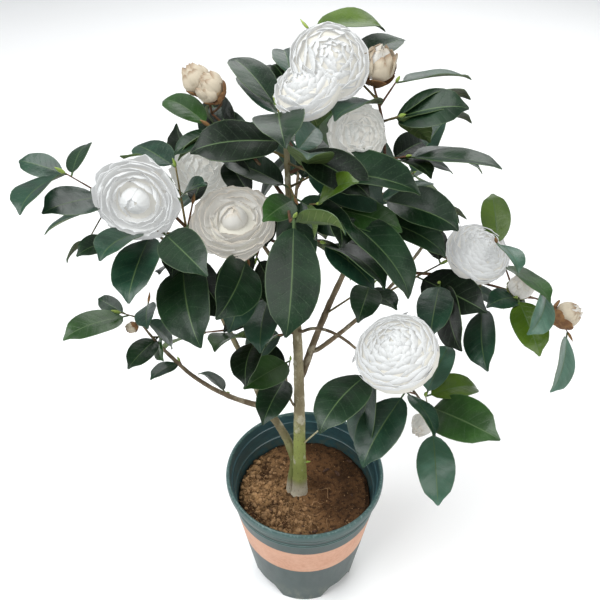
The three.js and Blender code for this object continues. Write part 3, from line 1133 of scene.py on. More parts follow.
@dataclass
class Litter:
    """Crumbs, bark chips and fine rootlets that lie on the soil."""

    soil: Soil
    crumbs: int = 900
    chips: int = 12
    rootlets: int = 34
    rootlet_steps: int = 9
    rootlet_step: float = 2.6 * MM
    clear: float = 14 * MM
    seed: int = 11

    def __post_init__(self) -> None:
        """Makes the dice, the mesh that takes the litter, and the uneven lump it copies."""
        self.dice = random.Random(self.seed)
        self.bm = bmesh.new()
        lump = bmesh.new()
        bmesh.ops.create_icosphere(lump, subdivisions=2, radius=1.0)
        for vert in lump.verts:
            vert.co *= 1 + 0.35 * noise.noise(vert.co * 1.7)
        self.lump = new_mesh(lump, "lump")

    def lay(self, x: float, y: float, lift: float, turned: Matrix, size: Sequence[float],
            index: int) -> None:
        """Lays a lump on the soil.

        Args:
            x: Its place along X.
            y: Its place along Y.
            lift: How far its middle is above the soil.
            turned: How it is turned.
            size: Half its length, width and height.
            index: Its material index.
        """
        place = Matrix.Translation((x, y, self.soil.height(x, y) + lift))
        copy_in(self.bm, self.lump, place @ turned @ Matrix.Diagonal((*size, 1)), index)

    def scatter_crumbs(self) -> None:
        """Scatters crumbs, most of them on the rough left side and along the edge."""
        dice, radius, count = self.dice, self.soil.radius, 0
        while count < self.crumbs:
            turn = dice.uniform(0, FULL_TURN)
            reach = radius * 0.97 * math.sqrt(dice.random())
            x, y = reach * math.cos(turn), reach * math.sin(turn)
            left = smooth_step(-0.03, 0.06, -x - 0.5 * y)
            edge = smooth_step(0.78, 0.97, reach / radius)
            if reach < self.clear or dice.random() > 0.16 + 0.84 * max(left, edge * 0.7):
                continue
            size = mix(0.6, 2.9, dice.random() ** 2.2) * mix(0.5, 1.2, left) * MM
            angle = dice.uniform(0, ANY_ANGLE)
            pole = Vector((dice.gauss(0, 1), dice.gauss(0, 1), dice.gauss(0, 1))).normalized()
            half = (size * dice.uniform(0.7, 1.4), size, size * 0.7)
            pale = dice.random() < 0.2 + 0.5 * left
            self.lay(x, y, size * 0.15, Matrix.Rotation(angle, 4, pole), half, int(pale))
            count += 1

    def scatter_chips(self) -> None:
        """Scatters flat bark chips, most of them at the front right."""
        for _ in range(self.chips):
            turn = math.radians(self.dice.gauss(-45, 50))
            reach = self.soil.radius * self.dice.uniform(0.45, 0.94)
            size = self.dice.uniform(1.4, 3.6) * MM
            turned = Matrix.Rotation(self.dice.uniform(0, ANY_ANGLE), 4, "Z")
            turned = turned @ Matrix.Rotation(self.dice.gauss(0, 0.35), 4, "X")
            self.lay(reach * math.cos(turn), reach * math.sin(turn), 0.5 * MM, turned,
                     (size * 1.7, size * 0.7, size * 0.3), 2)

    def lay_rootlets(self) -> None:
        """Lays fine rootlets over the soil, most of them at the front."""
        dice = self.dice
        radii = np.linspace(0.42, 0.2, self.rootlet_steps) * MM
        for _ in range(self.rootlets):
            turn = math.radians(dice.gauss(255, 40))
            reach = self.soil.radius * dice.uniform(0.3, 0.86)
            x, y = reach * math.cos(turn), reach * math.sin(turn)
            way, points = dice.uniform(0, ANY_ANGLE), []
            for _step in range(self.rootlet_steps):
                points.append((x, y, self.soil.height(x, y) + dice.uniform(0.3, 1.3) * MM))
                way += dice.gauss(0, 0.5)
                x += math.cos(way) * self.rootlet_step
                y += math.sin(way) * self.rootlet_step
            tube(self.bm, Path(np.array(points), radii), 4, index=dice.choice((1, 3)))

    def build(self) -> None:
        """Scatters the crumbs, the chips and the rootlets and dresses them."""
        self.scatter_crumbs()
        self.scatter_chips()
        self.lay_rootlets()
        finish = SoilFinish()
        settle(self.bm, "soil_litter", [
            finish.material("soil_crumb"), finish.material("soil_crumb_pale", 0.45),
            PlainFinish("bark_chip", "33221a", "5a4030", 0.85, 300.0).material(),
            PlainFinish("rootlet", "7a5a40", "a9835c", 0.8, 300.0).material()])


# ---- trunk, boughs and twigs ----

@dataclass(frozen=True)
class Reach:
    """How a bough's twig goes on past the end of its CAD solid."""

    on: str
    length: float
    swing: float = 0.0
    bend: float = 0.0
    tip: float = 0.9


@dataclass(frozen=True)
class Lead:
    """A leading leaf that sets a shoot's habit. Angles are in degrees."""

    at: float
    heading: float
    climb: float
    size: float = 1.0
    roll: float = 0.0
    tint: LeafTint | None = None


@dataclass(frozen=True)
class Shoot:
    """A leafy twig that leaves a limb or an earlier shoot.

    Lengths are in millimetres and angles in degrees. The leading leaves come first; any
    more sit in the plant's own spiral, from the place called first to the tip, and turn
    sets where it starts.
    """

    name: str
    on: str
    at: float
    heading: float
    climb: float
    length: float
    leads: tuple[Lead, ...] = ()
    leaves: int = 0
    turn: float = 0.0
    seed: int = 1
    swing: float = 0.0
    bend: float = 0.0
    first: float = 0.3
    size: float = 1.0
    droop: float = 0.2
    radius: float = 1.3


@dataclass
class Leaf:
    """One leaf's place and shape."""

    base: np.ndarray
    way: np.ndarray
    face: np.ndarray
    length: float
    width: float
    arch: float
    fold: float
    twist: float
    curl: float
    wave: float
    phase: float
    top: LeafTint = LeafTint.DARK
    under: UnderTint = UnderTint.OLIVE

    STALK = 0.1
    STALK_RADIUS = 0.9 * MM
    THICKNESS = 0.55 * MM
    RIB_DEPTH = 0.9 * MM
    RIB_SHARE = 0.08
    STEPS = 45
    TIP_DROP = 20
    TIP_SHARE = 0.14
    TIP_START = 0.8
    TIP_NARROWING = 0.42
    FOOT_SHARE = 0.08
    RIPPLE = 0.012

    def outline(self, along: np.ndarray) -> np.ndarray:
        """Works out how wide the blade is along its length.

        Args:
            along: Place from the blade's foot to its tip, 0 to 1.

        Returns:
            The half width, as a share of the greatest.
        """
        place = np.clip(along, 0.0, 1.0)
        body = place ** 0.62 * (1 - place) ** 0.72 / 0.4
        late = np.clip((place - self.TIP_START) / self.TIP_SHARE, 0, 1)
        drip = 1 - self.TIP_NARROWING * late ** 2 * (3 - 2 * late)
        return np.minimum(body * 0.985, 1.0) * drip

    def points(self, along: np.ndarray, across: np.ndarray, under: np.ndarray) -> np.ndarray:
        """Bends the flat sheet into this leaf.

        Args:
            along: Place from the stalk's foot (-STALK) to the tip (1).
            across: Place across, -1 to 1.
            under: Whether a point is on the underside.

        Returns:
            The points in metres.
        """
        steps = np.linspace(-self.STALK, 1.0, self.STEPS)
        share = np.clip((steps + self.STALK) / (1 + self.STALK), 0, 1)
        bow = np.radians(self.arch) * (share ** 1.5 * 1.25 - 0.25 * np.sin(share * np.pi))
        last = 1 - self.TIP_SHARE
        bow += np.radians(self.TIP_DROP) * np.clip((share - last) / self.TIP_SHARE, 0, 1)
        gap = self.length * (steps[1] - steps[0])
        ahead = np.concatenate([[0], np.cumsum(np.cos(bow[:-1]) * gap)])
        down = np.concatenate([[0], np.cumsum(np.sin(bow[:-1]) * gap)])
        run, fall = np.interp(along, steps, ahead), np.interp(along, steps, down)
        angle = np.interp(along, steps, bow)
        roll = np.radians(self.twist) * np.clip(along, 0, 1)
        side = np.cross(self.face, self.way)
        tangent_up = (np.cos(angle)[:, None] * self.face + np.sin(angle)[:, None] * self.way)
        normal = np.cos(roll)[:, None] * tangent_up + np.sin(roll)[:, None] * side
        wide = np.cos(roll)[:, None] * side - np.sin(roll)[:, None] * tangent_up
        half = np.maximum(self.outline(along) * self.width / 2, self.STALK_RADIUS)
        out = np.abs(across)
        blade = np.clip(along / self.FOOT_SHARE, 0, 1)
        fold = np.radians(self.fold) * blade
        lift = half * (out * np.sin(fold) - self.curl * out ** 2 * blade)
        lift += half * self.wave * out ** 2 * np.sin(
            along * 9.0 + self.phase + np.sign(across) * 1.4) * blade
        lift += self.width * self.RIPPLE * np.sin(along * 25.0) * np.sin(out * np.pi) * blade
        reach = half * across * np.cos(fold * (1 - 0.3 * out))
        thinned = self.RIB_DEPTH * (1 - 0.8 * np.clip(along, 0, 1))
        rib = np.where(out < self.RIB_SHARE, thinned, 0.0)
        depth = np.where(under, self.THICKNESS + rib, 0.0) * np.where(along > 0.98, 0.4, 1.0)
        spine = self.base + run[:, None] * self.way - fall[:, None] * self.face
        return spine + reach[:, None] * wide + (lift - depth)[:, None] * normal


class Growth:
    """The plant's limbs and shoots as paths, and the leaves that they carry."""

    LEAF_LENGTH = 80 * MM
    LEAF_WIDTH = 0.56
    # The third weight is for the painted-shade tint.
    TOP_WEIGHTS = (30, 34, 20, 14, 2, 0)
    UNDER_WEIGHTS = (60, 40)
    LEAD_PULL = 0.7
    DEALT_PULL = 0.62
    SEED_STRIDE = 1009
    SLACK = 0.05
    BEHIND, BEFORE, BESIDE = 0.3, 3.5, 1.02  # room round a bloom, in shares of its radius

    def __init__(self) -> None:
        """Reads the limbs from the frame and lets their twigs grow on."""
        self.limbs: dict[str, Path] = {}
        self.shoots: dict[str, Path] = {}
        self.leaves: list[Leaf] = []
        self.tips: list[tuple[np.ndarray, np.ndarray, float]] = []
        for name in sorted(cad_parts, key=self.order):
            if name.startswith(("stem", "trunk", "fork", "bough")):
                parent = self.limbs.get(PARENTS.get(name, ""))
                self.limbs[name] = node_path(name, parent)
        for reach in REACHES:
            self.extend(reach)

    @staticmethod
    def order(name: str) -> tuple[int, str]:
        """Makes a key that sorts each limb after the one it leaves.

        Args:
            name: The limb.

        Returns:
            How many limbs lie between it and the soil, and its name.
        """
        depth, above = 0, name
        while above in PARENTS:
            above, depth = PARENTS[above], depth + 1
        return depth, name

    def extend(self, reach: Reach) -> None:
        """Grows a limb on past its CAD end.

        Args:
            reach: How it goes on.
        """
        limb = self.limbs[reach.on]
        way = unit(limb.points[-1] - limb.points[-2])
        heading = math.degrees(math.atan2(way[1], way[0]))
        climb = math.degrees(math.asin(way[2]))
        more = walk(limb.points[-1], heading, climb, reach.swing, reach.bend,
                    reach.length * MM, (limb.radii[-1], reach.tip * MM), 6)
        self.limbs[reach.on] = Path(
            np.vstack([limb.points, more.points[1:]]),
            np.concatenate([limb.radii, more.radii[1:]]))

    def path_of(self, name: str) -> Path:
        """Returns a limb's or a shoot's path."""
        return self.shoots[name] if name in self.shoots else self.limbs[name]

    def shoot_path(self, shoot: Shoot) -> Path:
        """Walks out a shoot from its place on its parent.

        Args:
            shoot: The shoot.

        Returns:
            Its path.
        """
        parent = self.path_of(shoot.on)
        foot = min(shoot.radius * MM, parent.radius(shoot.at) * 0.95)
        return walk(parent.at(shoot.at), shoot.heading, shoot.climb, shoot.swing,
                    shoot.bend, shoot.length * MM, (foot, foot * 0.62), 8)

    def leaf(
        self, path: Path, share: float, out: np.ndarray, size: float, roll: float,
        pull: float, rng: random.Random,
    ) -> Leaf:
        """Hangs one leaf on a shoot.

        Args:
            path: The shoot's path.
            share: The leaf's place along it.
            out: Where its tip lies from its foot.
            size: Its size against the usual.
            roll: Degrees it is rolled about its length.
            pull: How far it turns to the light rather than to the shoot.
            rng: The shoot's own dice.

        Returns:
            The leaf.
        """
        way = path.tangent(share)
        inner = way - out * (way @ out)
        inner = unit(inner if np.linalg.norm(inner) > self.SLACK else UP - out * out[2])
        sky = unit(LIGHT - out * (LIGHT @ out))
        face = unit(inner * (1 - pull) + sky * pull)
        turn = math.radians(roll)
        face = face * math.cos(turn) + np.cross(face, out) * math.sin(turn)
        arch = rng.uniform(12, 42)
        lift = math.radians(arch) * 0.34
        length = self.LEAF_LENGTH * size
        spoke = unit(out - way * (way @ out) + UP * 0.01)
        return Leaf(
            base=path.at(share) + spoke * path.radius(share) * 0.6,
            way=out * math.cos(lift) + face * math.sin(lift),
            face=face * math.cos(lift) - out * math.sin(lift),
            length=length, width=length * self.LEAF_WIDTH * rng.uniform(0.92, 1.08),
            arch=arch, fold=rng.uniform(10, 24), twist=rng.gauss(0, 8),
            curl=rng.uniform(0.02, 0.18), wave=rng.uniform(0.0, 0.08),
            phase=rng.uniform(0, ANY_ANGLE),
            top=rng.choices(list(LeafTint), self.TOP_WEIGHTS)[0],
            under=rng.choices(list(UnderTint), self.UNDER_WEIGHTS)[0])

    def leaves_of(self, shoot: Shoot, path: Path) -> list[Leaf]:
        """Hangs a shoot's leading leaves and deals out the rest in a jittered spiral.

        Args:
            shoot: The shoot.
            path: Its path.

        Returns:
            Its leaves.
        """
        rng = random.Random(shoot.seed * self.SEED_STRIDE + len(shoot.name))
        leaves = [self.leaf(path, lead.at, direction(lead.heading, lead.climb), lead.size,
                            lead.roll + rng.gauss(0, 3), self.LEAD_PULL, rng)
                  for lead in shoot.leads]
        for leaf, lead in zip(leaves, shoot.leads):
            leaf.top = lead.tint or leaf.top
        for number in range(shoot.leaves):
            share = mix(shoot.first, 1.0, number / max(shoot.leaves - 1, 1))
            way = path.tangent(share)
            level = np.cross(UP, way)
            upright = np.linalg.norm(level) <= self.SLACK
            level = unit(np.array([1.0, 0.0, 0.0]) if upright else level)
            turn = math.radians(shoot.turn + GOLDEN * number + rng.uniform(-24, 24))
            spread = math.radians(mix(80, 40, share ** 2) + rng.uniform(-18, 14))
            spoke = level * math.cos(turn) + np.cross(way, level) * math.sin(turn)
            droop = shoot.droop + rng.uniform(-0.16, 0.16)
            out = unit(way * math.cos(spread) + spoke * math.sin(spread) - UP * droop)
            size = shoot.size * rng.uniform(0.82, 1.08) * (1 - 0.1 * share ** 3)
            roll = rng.gauss(0, 13)
            pull = self.DEALT_PULL + rng.uniform(-0.14, 0.14)
            leaves.append(self.leaf(path, share, out, size, roll, pull, rng))
        return leaves

    def gives_way(self, leaf: Leaf, blooms: Iterable["Bloom"]) -> bool:
        """Tells whether a leaf would stand in a bloom or in front of its face.

        Args:
            leaf: The leaf.
            blooms: The blooms.

        Returns:
            True where it would.
        """
        alongs, acrosses = np.meshgrid([0.2, 0.4, 0.6, 0.8, 1.0], [-0.8, 0.0, 0.8])
        points = leaf.points(alongs.ravel(), acrosses.ravel(), np.zeros(alongs.size, bool))
        for bloom in blooms:
            face, size = direction(*bloom.facing), bloom.radius * MM
            gaps = points - bloom.middle(self.path_of(bloom.on))
            ahead = gaps @ face
            beside = np.linalg.norm(gaps - ahead[:, None] * face, axis=1)
            near = (ahead > -self.BEHIND * size) & (ahead < self.BEFORE * size)
            if (near & (beside < self.BESIDE * size)).any():
                return True
        return False

    def grow(self, shoots: Iterable[Shoot], blooms: Sequence["Bloom"]) -> None:
        """Grows shoots in order, with their leaves.

        Args:
            shoots: The shoots, each after its parent.
            blooms: The blooms that the dealt leaves give way to.
        """
        for shoot in shoots:
            path = self.shoot_path(shoot)
            self.shoots[shoot.name] = path
            leads = len(shoot.leads)
            leaves = self.leaves_of(shoot, path)
            self.leaves += leaves[:leads]
            self.leaves += [leaf for leaf in leaves[leads:] if not self.gives_way(leaf, blooms)]
            self.tips.append((path.points[-1], path.tangent(1.0), shoot.size))


class Bark:
    """Meshes with bark relief on the trunk, stems, boughs and twigs."""

    SPACING = 3.2 * MM
    TRUNK_SPACING = 2.6 * MM
    TWIG_SPACING = 3.5 * MM
    COLLAR = 0.38
    FLARE_REACH = 8 * MM
    FLARE_PROUD = 1.8 * MM
    SCAR = np.array([-1.0, -10.5, 151.0]) * MM
    SCAR_RADIUS = 3.6 * MM
    SCAR_LIP = 1.1 * MM
    SCAR_PROUD = 0.9 * MM
    STEM_FOOT = np.array([-13.0, 1.0, 0.0]) * MM
    STEM_CLEAR = 16 * MM
    KNUCKLE_GAP = 16 * MM
    SLIM = 2.4 * MM

    def __init__(self, growth: Growth) -> None:
        """Keeps the paths that it dresses.

        Args:
            growth: The grown plant.
        """
        self.growth = growth

    @staticmethod
    def smoothed(path: Path, spacing: float) -> Path:
        """Gives a path close, smooth points.

        Args:
            path: The path.
            spacing: Distance between points.

        Returns:
            The new path.
        """
        fine = path.resampled(max(int(path.length() / spacing), 6))
        for _ in range(4):
            inner = (fine.points[:-2] + fine.points[2:] + 2 * fine.points[1:-1]) / 4
            fine.points[1:-1] = inner
        return fine

    def rooted(self, name: str, path: Path) -> Path:
        """Starts a limb inside its parent and swells it there into a collar.

        Args:
            name: The limb.
            path: Its path.

        Returns:
            The longer, swollen path.
        """
        parent = self.growth.limbs[PARENTS[name]]
        inner = parent.resampled(80).points
        nearest = inner[int(np.argmin(np.linalg.norm(inner - path.points[0], axis=1)))]
        made = Path(np.vstack([nearest, path.points]),
                    np.concatenate([[path.radii[0]], path.radii]))
        made = self.smoothed(made, self.SPACING)
        swell = np.exp(-made.lengths() / (2.2 * path.radii[0] + parent.radii.mean()))
        made.radii = made.radii * (1 + self.COLLAR * swell)
        return made

    def grounded(self, path: Path, level: float) -> Path:
        """Starts a stem in the soil beside the trunk rather than on the trunk.

        Args:
            path: The stem, from the trunk on.
            level: Height of the soil.

        Returns:
            The longer path.
        """
        trunk = self.growth.limbs["trunk"].points[0]
        foot = np.array([trunk[0], trunk[1], level - 8 * MM]) + self.STEM_FOOT
        keep = path.lengths() > self.STEM_CLEAR
        points = np.vstack([foot, foot + UP * 14 * MM, path.points[keep]])
        radii = np.full(len(points), path.radii[-1])
        radii[2:] = path.radii[keep]
        radii[:2] = path.radii[keep][0]
        radii *= 1.3 - 0.3 * np.clip(np.linspace(0, 2.2, len(points)), 0, 1)
        return self.smoothed(Path(points, radii), self.SPACING)

    def relief(self, path: Path, rough: float) -> Relief:
        """Makes the bark's relief: knuckles, ridges and grain.

        Args:
            path: The limb.
            rough: Strength of the relief.

        Returns:
            A function of the point, the angle and the running length.
        """
        radius = float(path.radii.mean())

        def extra(point: np.ndarray, angle: float, run: float) -> float:
            """Works out the relief at a point.

            Args:
                point: The point.
                angle: Its angle round the limb, which this relief doesn't need.
                run: Its running length along the limb.

            Returns:
                The extra radius.
            """
            place = Vector(point)
            broad = noise.noise(place * 75.0)
            fine = noise.noise(Vector((point[0] * 420, point[1] * 420, point[2] * 160)))
            turn = run / self.KNUCKLE_GAP * FULL_TURN + 2 * broad
            knuckle = max(math.sin(turn), 0.0) ** 8
            return radius * rough * (0.085 * broad + 0.045 * fine + 0.07 * knuckle)

        return extra

    def trunk(self) -> None:
        """Builds the trunk with its root flare and pruning scar."""
        limb = self.growth.limbs["trunk"]
        soil_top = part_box("soil")[1].z
        foot = limb.points[0].copy()
        foot[2] = soil_top - 9 * MM
        path = Path(np.vstack([foot, limb.points]), np.concatenate([[limb.radii[0]], limb.radii]))
        path = self.smoothed(path, self.TRUNK_SPACING)
        bark = self.relief(path, 1.0)

        def extra(point: np.ndarray, angle: float, run: float) -> float:
            """Adds the flare and the scar to the bark.

            Args:
                point: The point.
                angle: Its angle round the trunk.
                run: Its running length along the trunk.

            Returns:
                The extra radius.
            """
            rise = max(point[2] - soil_top, -4 * MM)
            flare = self.FLARE_PROUD * math.exp(-rise / self.FLARE_REACH)
            lobes = 0.8 + 0.2 * math.sin(3 * angle + 0.6)
            gap = float(np.linalg.norm(point - self.SCAR))
            ring = math.exp(-((gap - self.SCAR_RADIUS) / self.SCAR_LIP) ** 2) * self.SCAR_PROUD
            return bark(point, angle, run) + flare * lobes + ring

        bm = bmesh.new()
        tube(bm, path, 40, extra)
        finish = BarkFinish("bark_trunk", "9a9173", "756b50", "bab5a0", 0.35, "8f9c4f",
                            soil_top + 12 * MM, soil_top + 150 * MM)
        piece = settle(bm, "trunk_bark", [finish.material()])
        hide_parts("trunk")

    def stems(self) -> None:
        """Builds the side stems."""
        bm = bmesh.new()
        soil_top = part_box("soil")[1].z
        names = [n for n in self.growth.limbs if n.startswith("stem")]
        for name in names:
            path = self.rooted(name, self.growth.limbs[name])
            if name == "stem_left":
                path = self.grounded(path, soil_top)
            tube(bm, path, 22, self.relief(path, 1.0))
        finish = BarkFinish("bark_stem", "8c8263", "6a6047", "aaa590", 0.5, "7a8548",
                            soil_top + 10 * MM, soil_top + 110 * MM)
        piece = settle(bm, "stem_bark", [finish.material()])
        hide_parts(*names)

    def boughs(self) -> None:
        """Builds the boughs with the twigs that go on from them."""
        bm = bmesh.new()
        names = [n for n in self.growth.limbs if n.startswith(("fork", "bough"))]
        for name in names:
            limb = self.growth.limbs[name]
            path = self.rooted(name, limb)
            sides = 12 if limb.radii[0] < self.SLIM else 18
            tube(bm, path, sides, self.relief(path, 1.25), int(name in YOUNG_BOUGHS))
        piece = settle(bm, "bough_bark", [
            BarkFinish("bark_bough", "7b6c56", "574a38", "a39b86", 0.5).material(),
            BarkFinish("bark_young", "6c4c36", "4c3425", "8a785e", 0.2).material(),
        ])
        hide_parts(*names)

    def twigs(self) -> None:
        """Builds the leafy shoots' twigs."""
        bm = bmesh.new()
        for number, (name, path) in enumerate(self.growth.shoots.items()):
            fine = self.smoothed(path, self.TWIG_SPACING)
            kind = 2 if name in PALE_SHOOTS else number % 2
            tube(bm, fine, 8, self.relief(fine, 1.4), kind)
        settle(bm, "twigs", [
            BarkFinish("bark_twig", "6b4a35", "4f3626", "8b755c", 0.15).material(),
            BarkFinish("bark_twig_green", "75683f", "5b5034", "8f8460", 0.15).material(),
            BarkFinish("bark_sprout", "b9b394", "a29a78", "cfcab4", 0.3).material(),
        ])


# ---- leaves ----

class Foliage:
    """All the leaves as one joined piece, with the small pointed buds between them."""

    ALONGS = (-0.1, -0.05, 0.0, 0.05, 0.12, 0.2, 0.29, 0.38, 0.47, 0.56, 0.65, 0.73, 0.8,
              0.86, 0.91, 0.96, 1.0)
    ACROSSES = (-1.0, -0.7, -0.36, -0.022, 0.022, 0.36, 0.7, 1.0)
    MIDRIB = 0.03
    BUD_RADII = (0.8, 1.35, 1.5, 1.25, 0.75, 0.12)
    BUD_SEED = 5

    def __init__(self, growth: Growth) -> None:
        """Keeps the plant and makes the flat leaf.

        Args:
            growth: The grown plant.
        """
        self.growth = growth
        self.sheet = Sheet(self.ALONGS, self.ACROSSES, self.role)

    def role(self, along: float, across: float, upper: bool, rim: bool) -> int:
        """Tells which part of a leaf a face belongs to.

        Args:
            along: The face's place along the leaf.
            across: Its place across.
            upper: Whether it is on the upper side.
            rim: Whether it is on the rim.

        Returns:
            0 for the upper side, 1 for rib, stalk and rim, 2 for the underside.
        """
        if rim or along < 0 or abs(across) < self.MIDRIB:
            return 1
        return 0 if upper else 2

    def leaves(self) -> None:
        """Bends and joins every leaf."""
        bm = bmesh.new()
        tops, unders = list(LeafTint), list(UnderTint)
        for leaf in self.growth.leaves:
            points = leaf.points(self.sheet.along, self.sheet.across, self.sheet.under)
            self.sheet.join(bm, points, (
                tops.index(leaf.top), len(tops), len(tops) + 1 + unders.index(leaf.under)))
        finish = LeafFinish()
        materials = [finish.top(t) for t in tops] + [finish.midrib()]
        materials += [finish.under(t) for t in unders]
        piece = settle(bm, "leaves", materials)
        masses = [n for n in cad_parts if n.startswith("foliage")]
        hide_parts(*masses)

    def buds(self) -> None:
        """Builds the pointed leaf buds at the shoots' tips."""
        bm = bmesh.new()
        rng = random.Random(self.BUD_SEED)
        for tip, way, size in self.growth.tips:
            length = rng.uniform(7, 12) * MM * size
            bend = rng.gauss(0, 0.12)
            side = unit(np.cross(way, UP + 0.01))
            points = np.array([tip + way * length * s + side * bend * length * s * s
                               for s in np.linspace(0, 1, len(self.BUD_RADII))])
            radii = np.array(self.BUD_RADII) * MM * rng.uniform(0.9, 1.25)
            tube(bm, Path(points, radii), 8, index=int(rng.random() < 0.3))
        settle(bm, "leaf_buds", [
            PlainFinish("bud_green", "76903a", "94a552", 0.45).material(),
            PlainFinish("bud_brown", "6d4c2c", "8b6a41", 0.6).material()])


# ---- blooms ----

@dataclass(frozen=True)
class BloomForm:
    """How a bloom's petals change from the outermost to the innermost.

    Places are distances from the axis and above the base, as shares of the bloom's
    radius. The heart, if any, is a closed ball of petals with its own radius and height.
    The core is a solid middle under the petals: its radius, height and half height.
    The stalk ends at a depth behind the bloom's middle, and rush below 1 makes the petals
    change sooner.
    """

    petals: int
    tips: tuple[tuple[float, float], ...]
    bows: tuple[tuple[float, float], ...]
    widths: tuple[float, ...]
    wraps: tuple[float, ...]
    ruffles: tuple[float, ...]
    jitter: float = 0.03
    heart: tuple[float, float] | None = None
    core: tuple[float, float, float] = (0.9, 0.3, 0.5)
    depth: float = 0.45
    rush: float = 0.9


class BloomKind(Enum):
    """The forms of bloom on the plant."""

    PEARL = BloomForm(
        30,
        ((1.05, 0.3), (0.98, 0.48), (0.84, 0.62), (0.64, 0.66), (0.36, 0.58)),
        ((0.72, -0.06), (0.86, 0.04), (0.92, 0.26), (0.82, 0.38), (0.62, 0.4)),
        (0.8, 0.78, 0.68, 0.56, 0.42),
        (0.95, 0.95, 0.9, 0.75, 0.5),
        (0.06, 0.04, 0.03, 0.02, 0.014), 0.035, (0.32, 0.46), (0.84, 0.14, 0.34))
    ROSE = BloomForm(
        52,
        ((1.0, 0.38), (0.88, 0.6), (0.64, 0.76), (0.38, 0.84), (0.04, 0.88)),
        ((1.04, 0.0), (1.06, 0.26), (0.92, 0.54), (0.7, 0.7), (0.36, 0.8)),
        (0.72, 0.6, 0.46, 0.36, 0.28),
        (1.0, 1.1, 1.3, 1.4, 1.4),
        (0.016, 0.026, 0.034, 0.04, 0.04), 0.035, None, (0.95, 0.25, 0.57))
    BALL = BloomForm(
        72,
        ((0.96, 0.5), (0.8, 0.72), (0.56, 0.86), (0.32, 0.93), (0.02, 0.95)),
        ((1.1, 0.06), (1.06, 0.34), (0.88, 0.62), (0.66, 0.8), (0.34, 0.9)),
        (1.1, 0.7, 0.42, 0.3, 0.22),
        (1.0, 1.05, 1.2, 1.3, 1.3),
        (0.008, 0.012, 0.018, 0.022, 0.026), 0.02, None, (0.95, 0.3, 0.6), rush=0.74)
    WORN = BloomForm(
        44,
        ((1.0, 0.26), (0.92, 0.5), (0.7, 0.68), (0.42, 0.78), (0.05, 0.8)),
        ((0.9, 0.0), (1.0, 0.2), (0.9, 0.46), (0.68, 0.62), (0.34, 0.72)),
        (0.62, 0.56, 0.46, 0.36, 0.26),
        (1.1, 1.1, 1.2, 1.3, 1.3),
        (0.07, 0.065, 0.06, 0.055, 0.05), 0.05, None, (0.94, 0.15, 0.58))
    CLOSED = BloomForm(
        16,
        ((0.62, 1.35), (0.5, 1.55), (0.34, 1.68), (0.16, 1.76), (-0.1, 1.78)),
        ((1.5, 0.4), (1.5, 0.65), (1.4, 0.9), (1.25, 1.05), (1.0, 1.1)),
        (0.74, 0.7, 0.62, 0.52, 0.4),
        (1.0, 0.95, 0.9, 0.8, 0.7),
        (0.12, 0.13, 0.13, 0.12, 0.1), 0.07, None, (0.86, 0.8, 0.72), 0.8)


@dataclass(frozen=True)
class Bloom:
    """A bloom or a bud on its own short stalk. Millimetres and degrees."""

    name: str
    kind: BloomKind
    on: str
    at: float
    heading: float
    climb: float
    stalk: float
    facing: tuple[float, float]
    radius: float
    tint: PetalTint = PetalTint.FRESH
    heart: PetalTint = PetalTint.FRESH
    seed: int = 1
    calyx: float = 0.3

    def middle(self, limb: Path) -> np.ndarray:
        """Returns its middle, at the end of its stalk's reach from the limb."""
        return limb.at(self.at) + direction(self.heading, self.climb) * self.stalk * MM


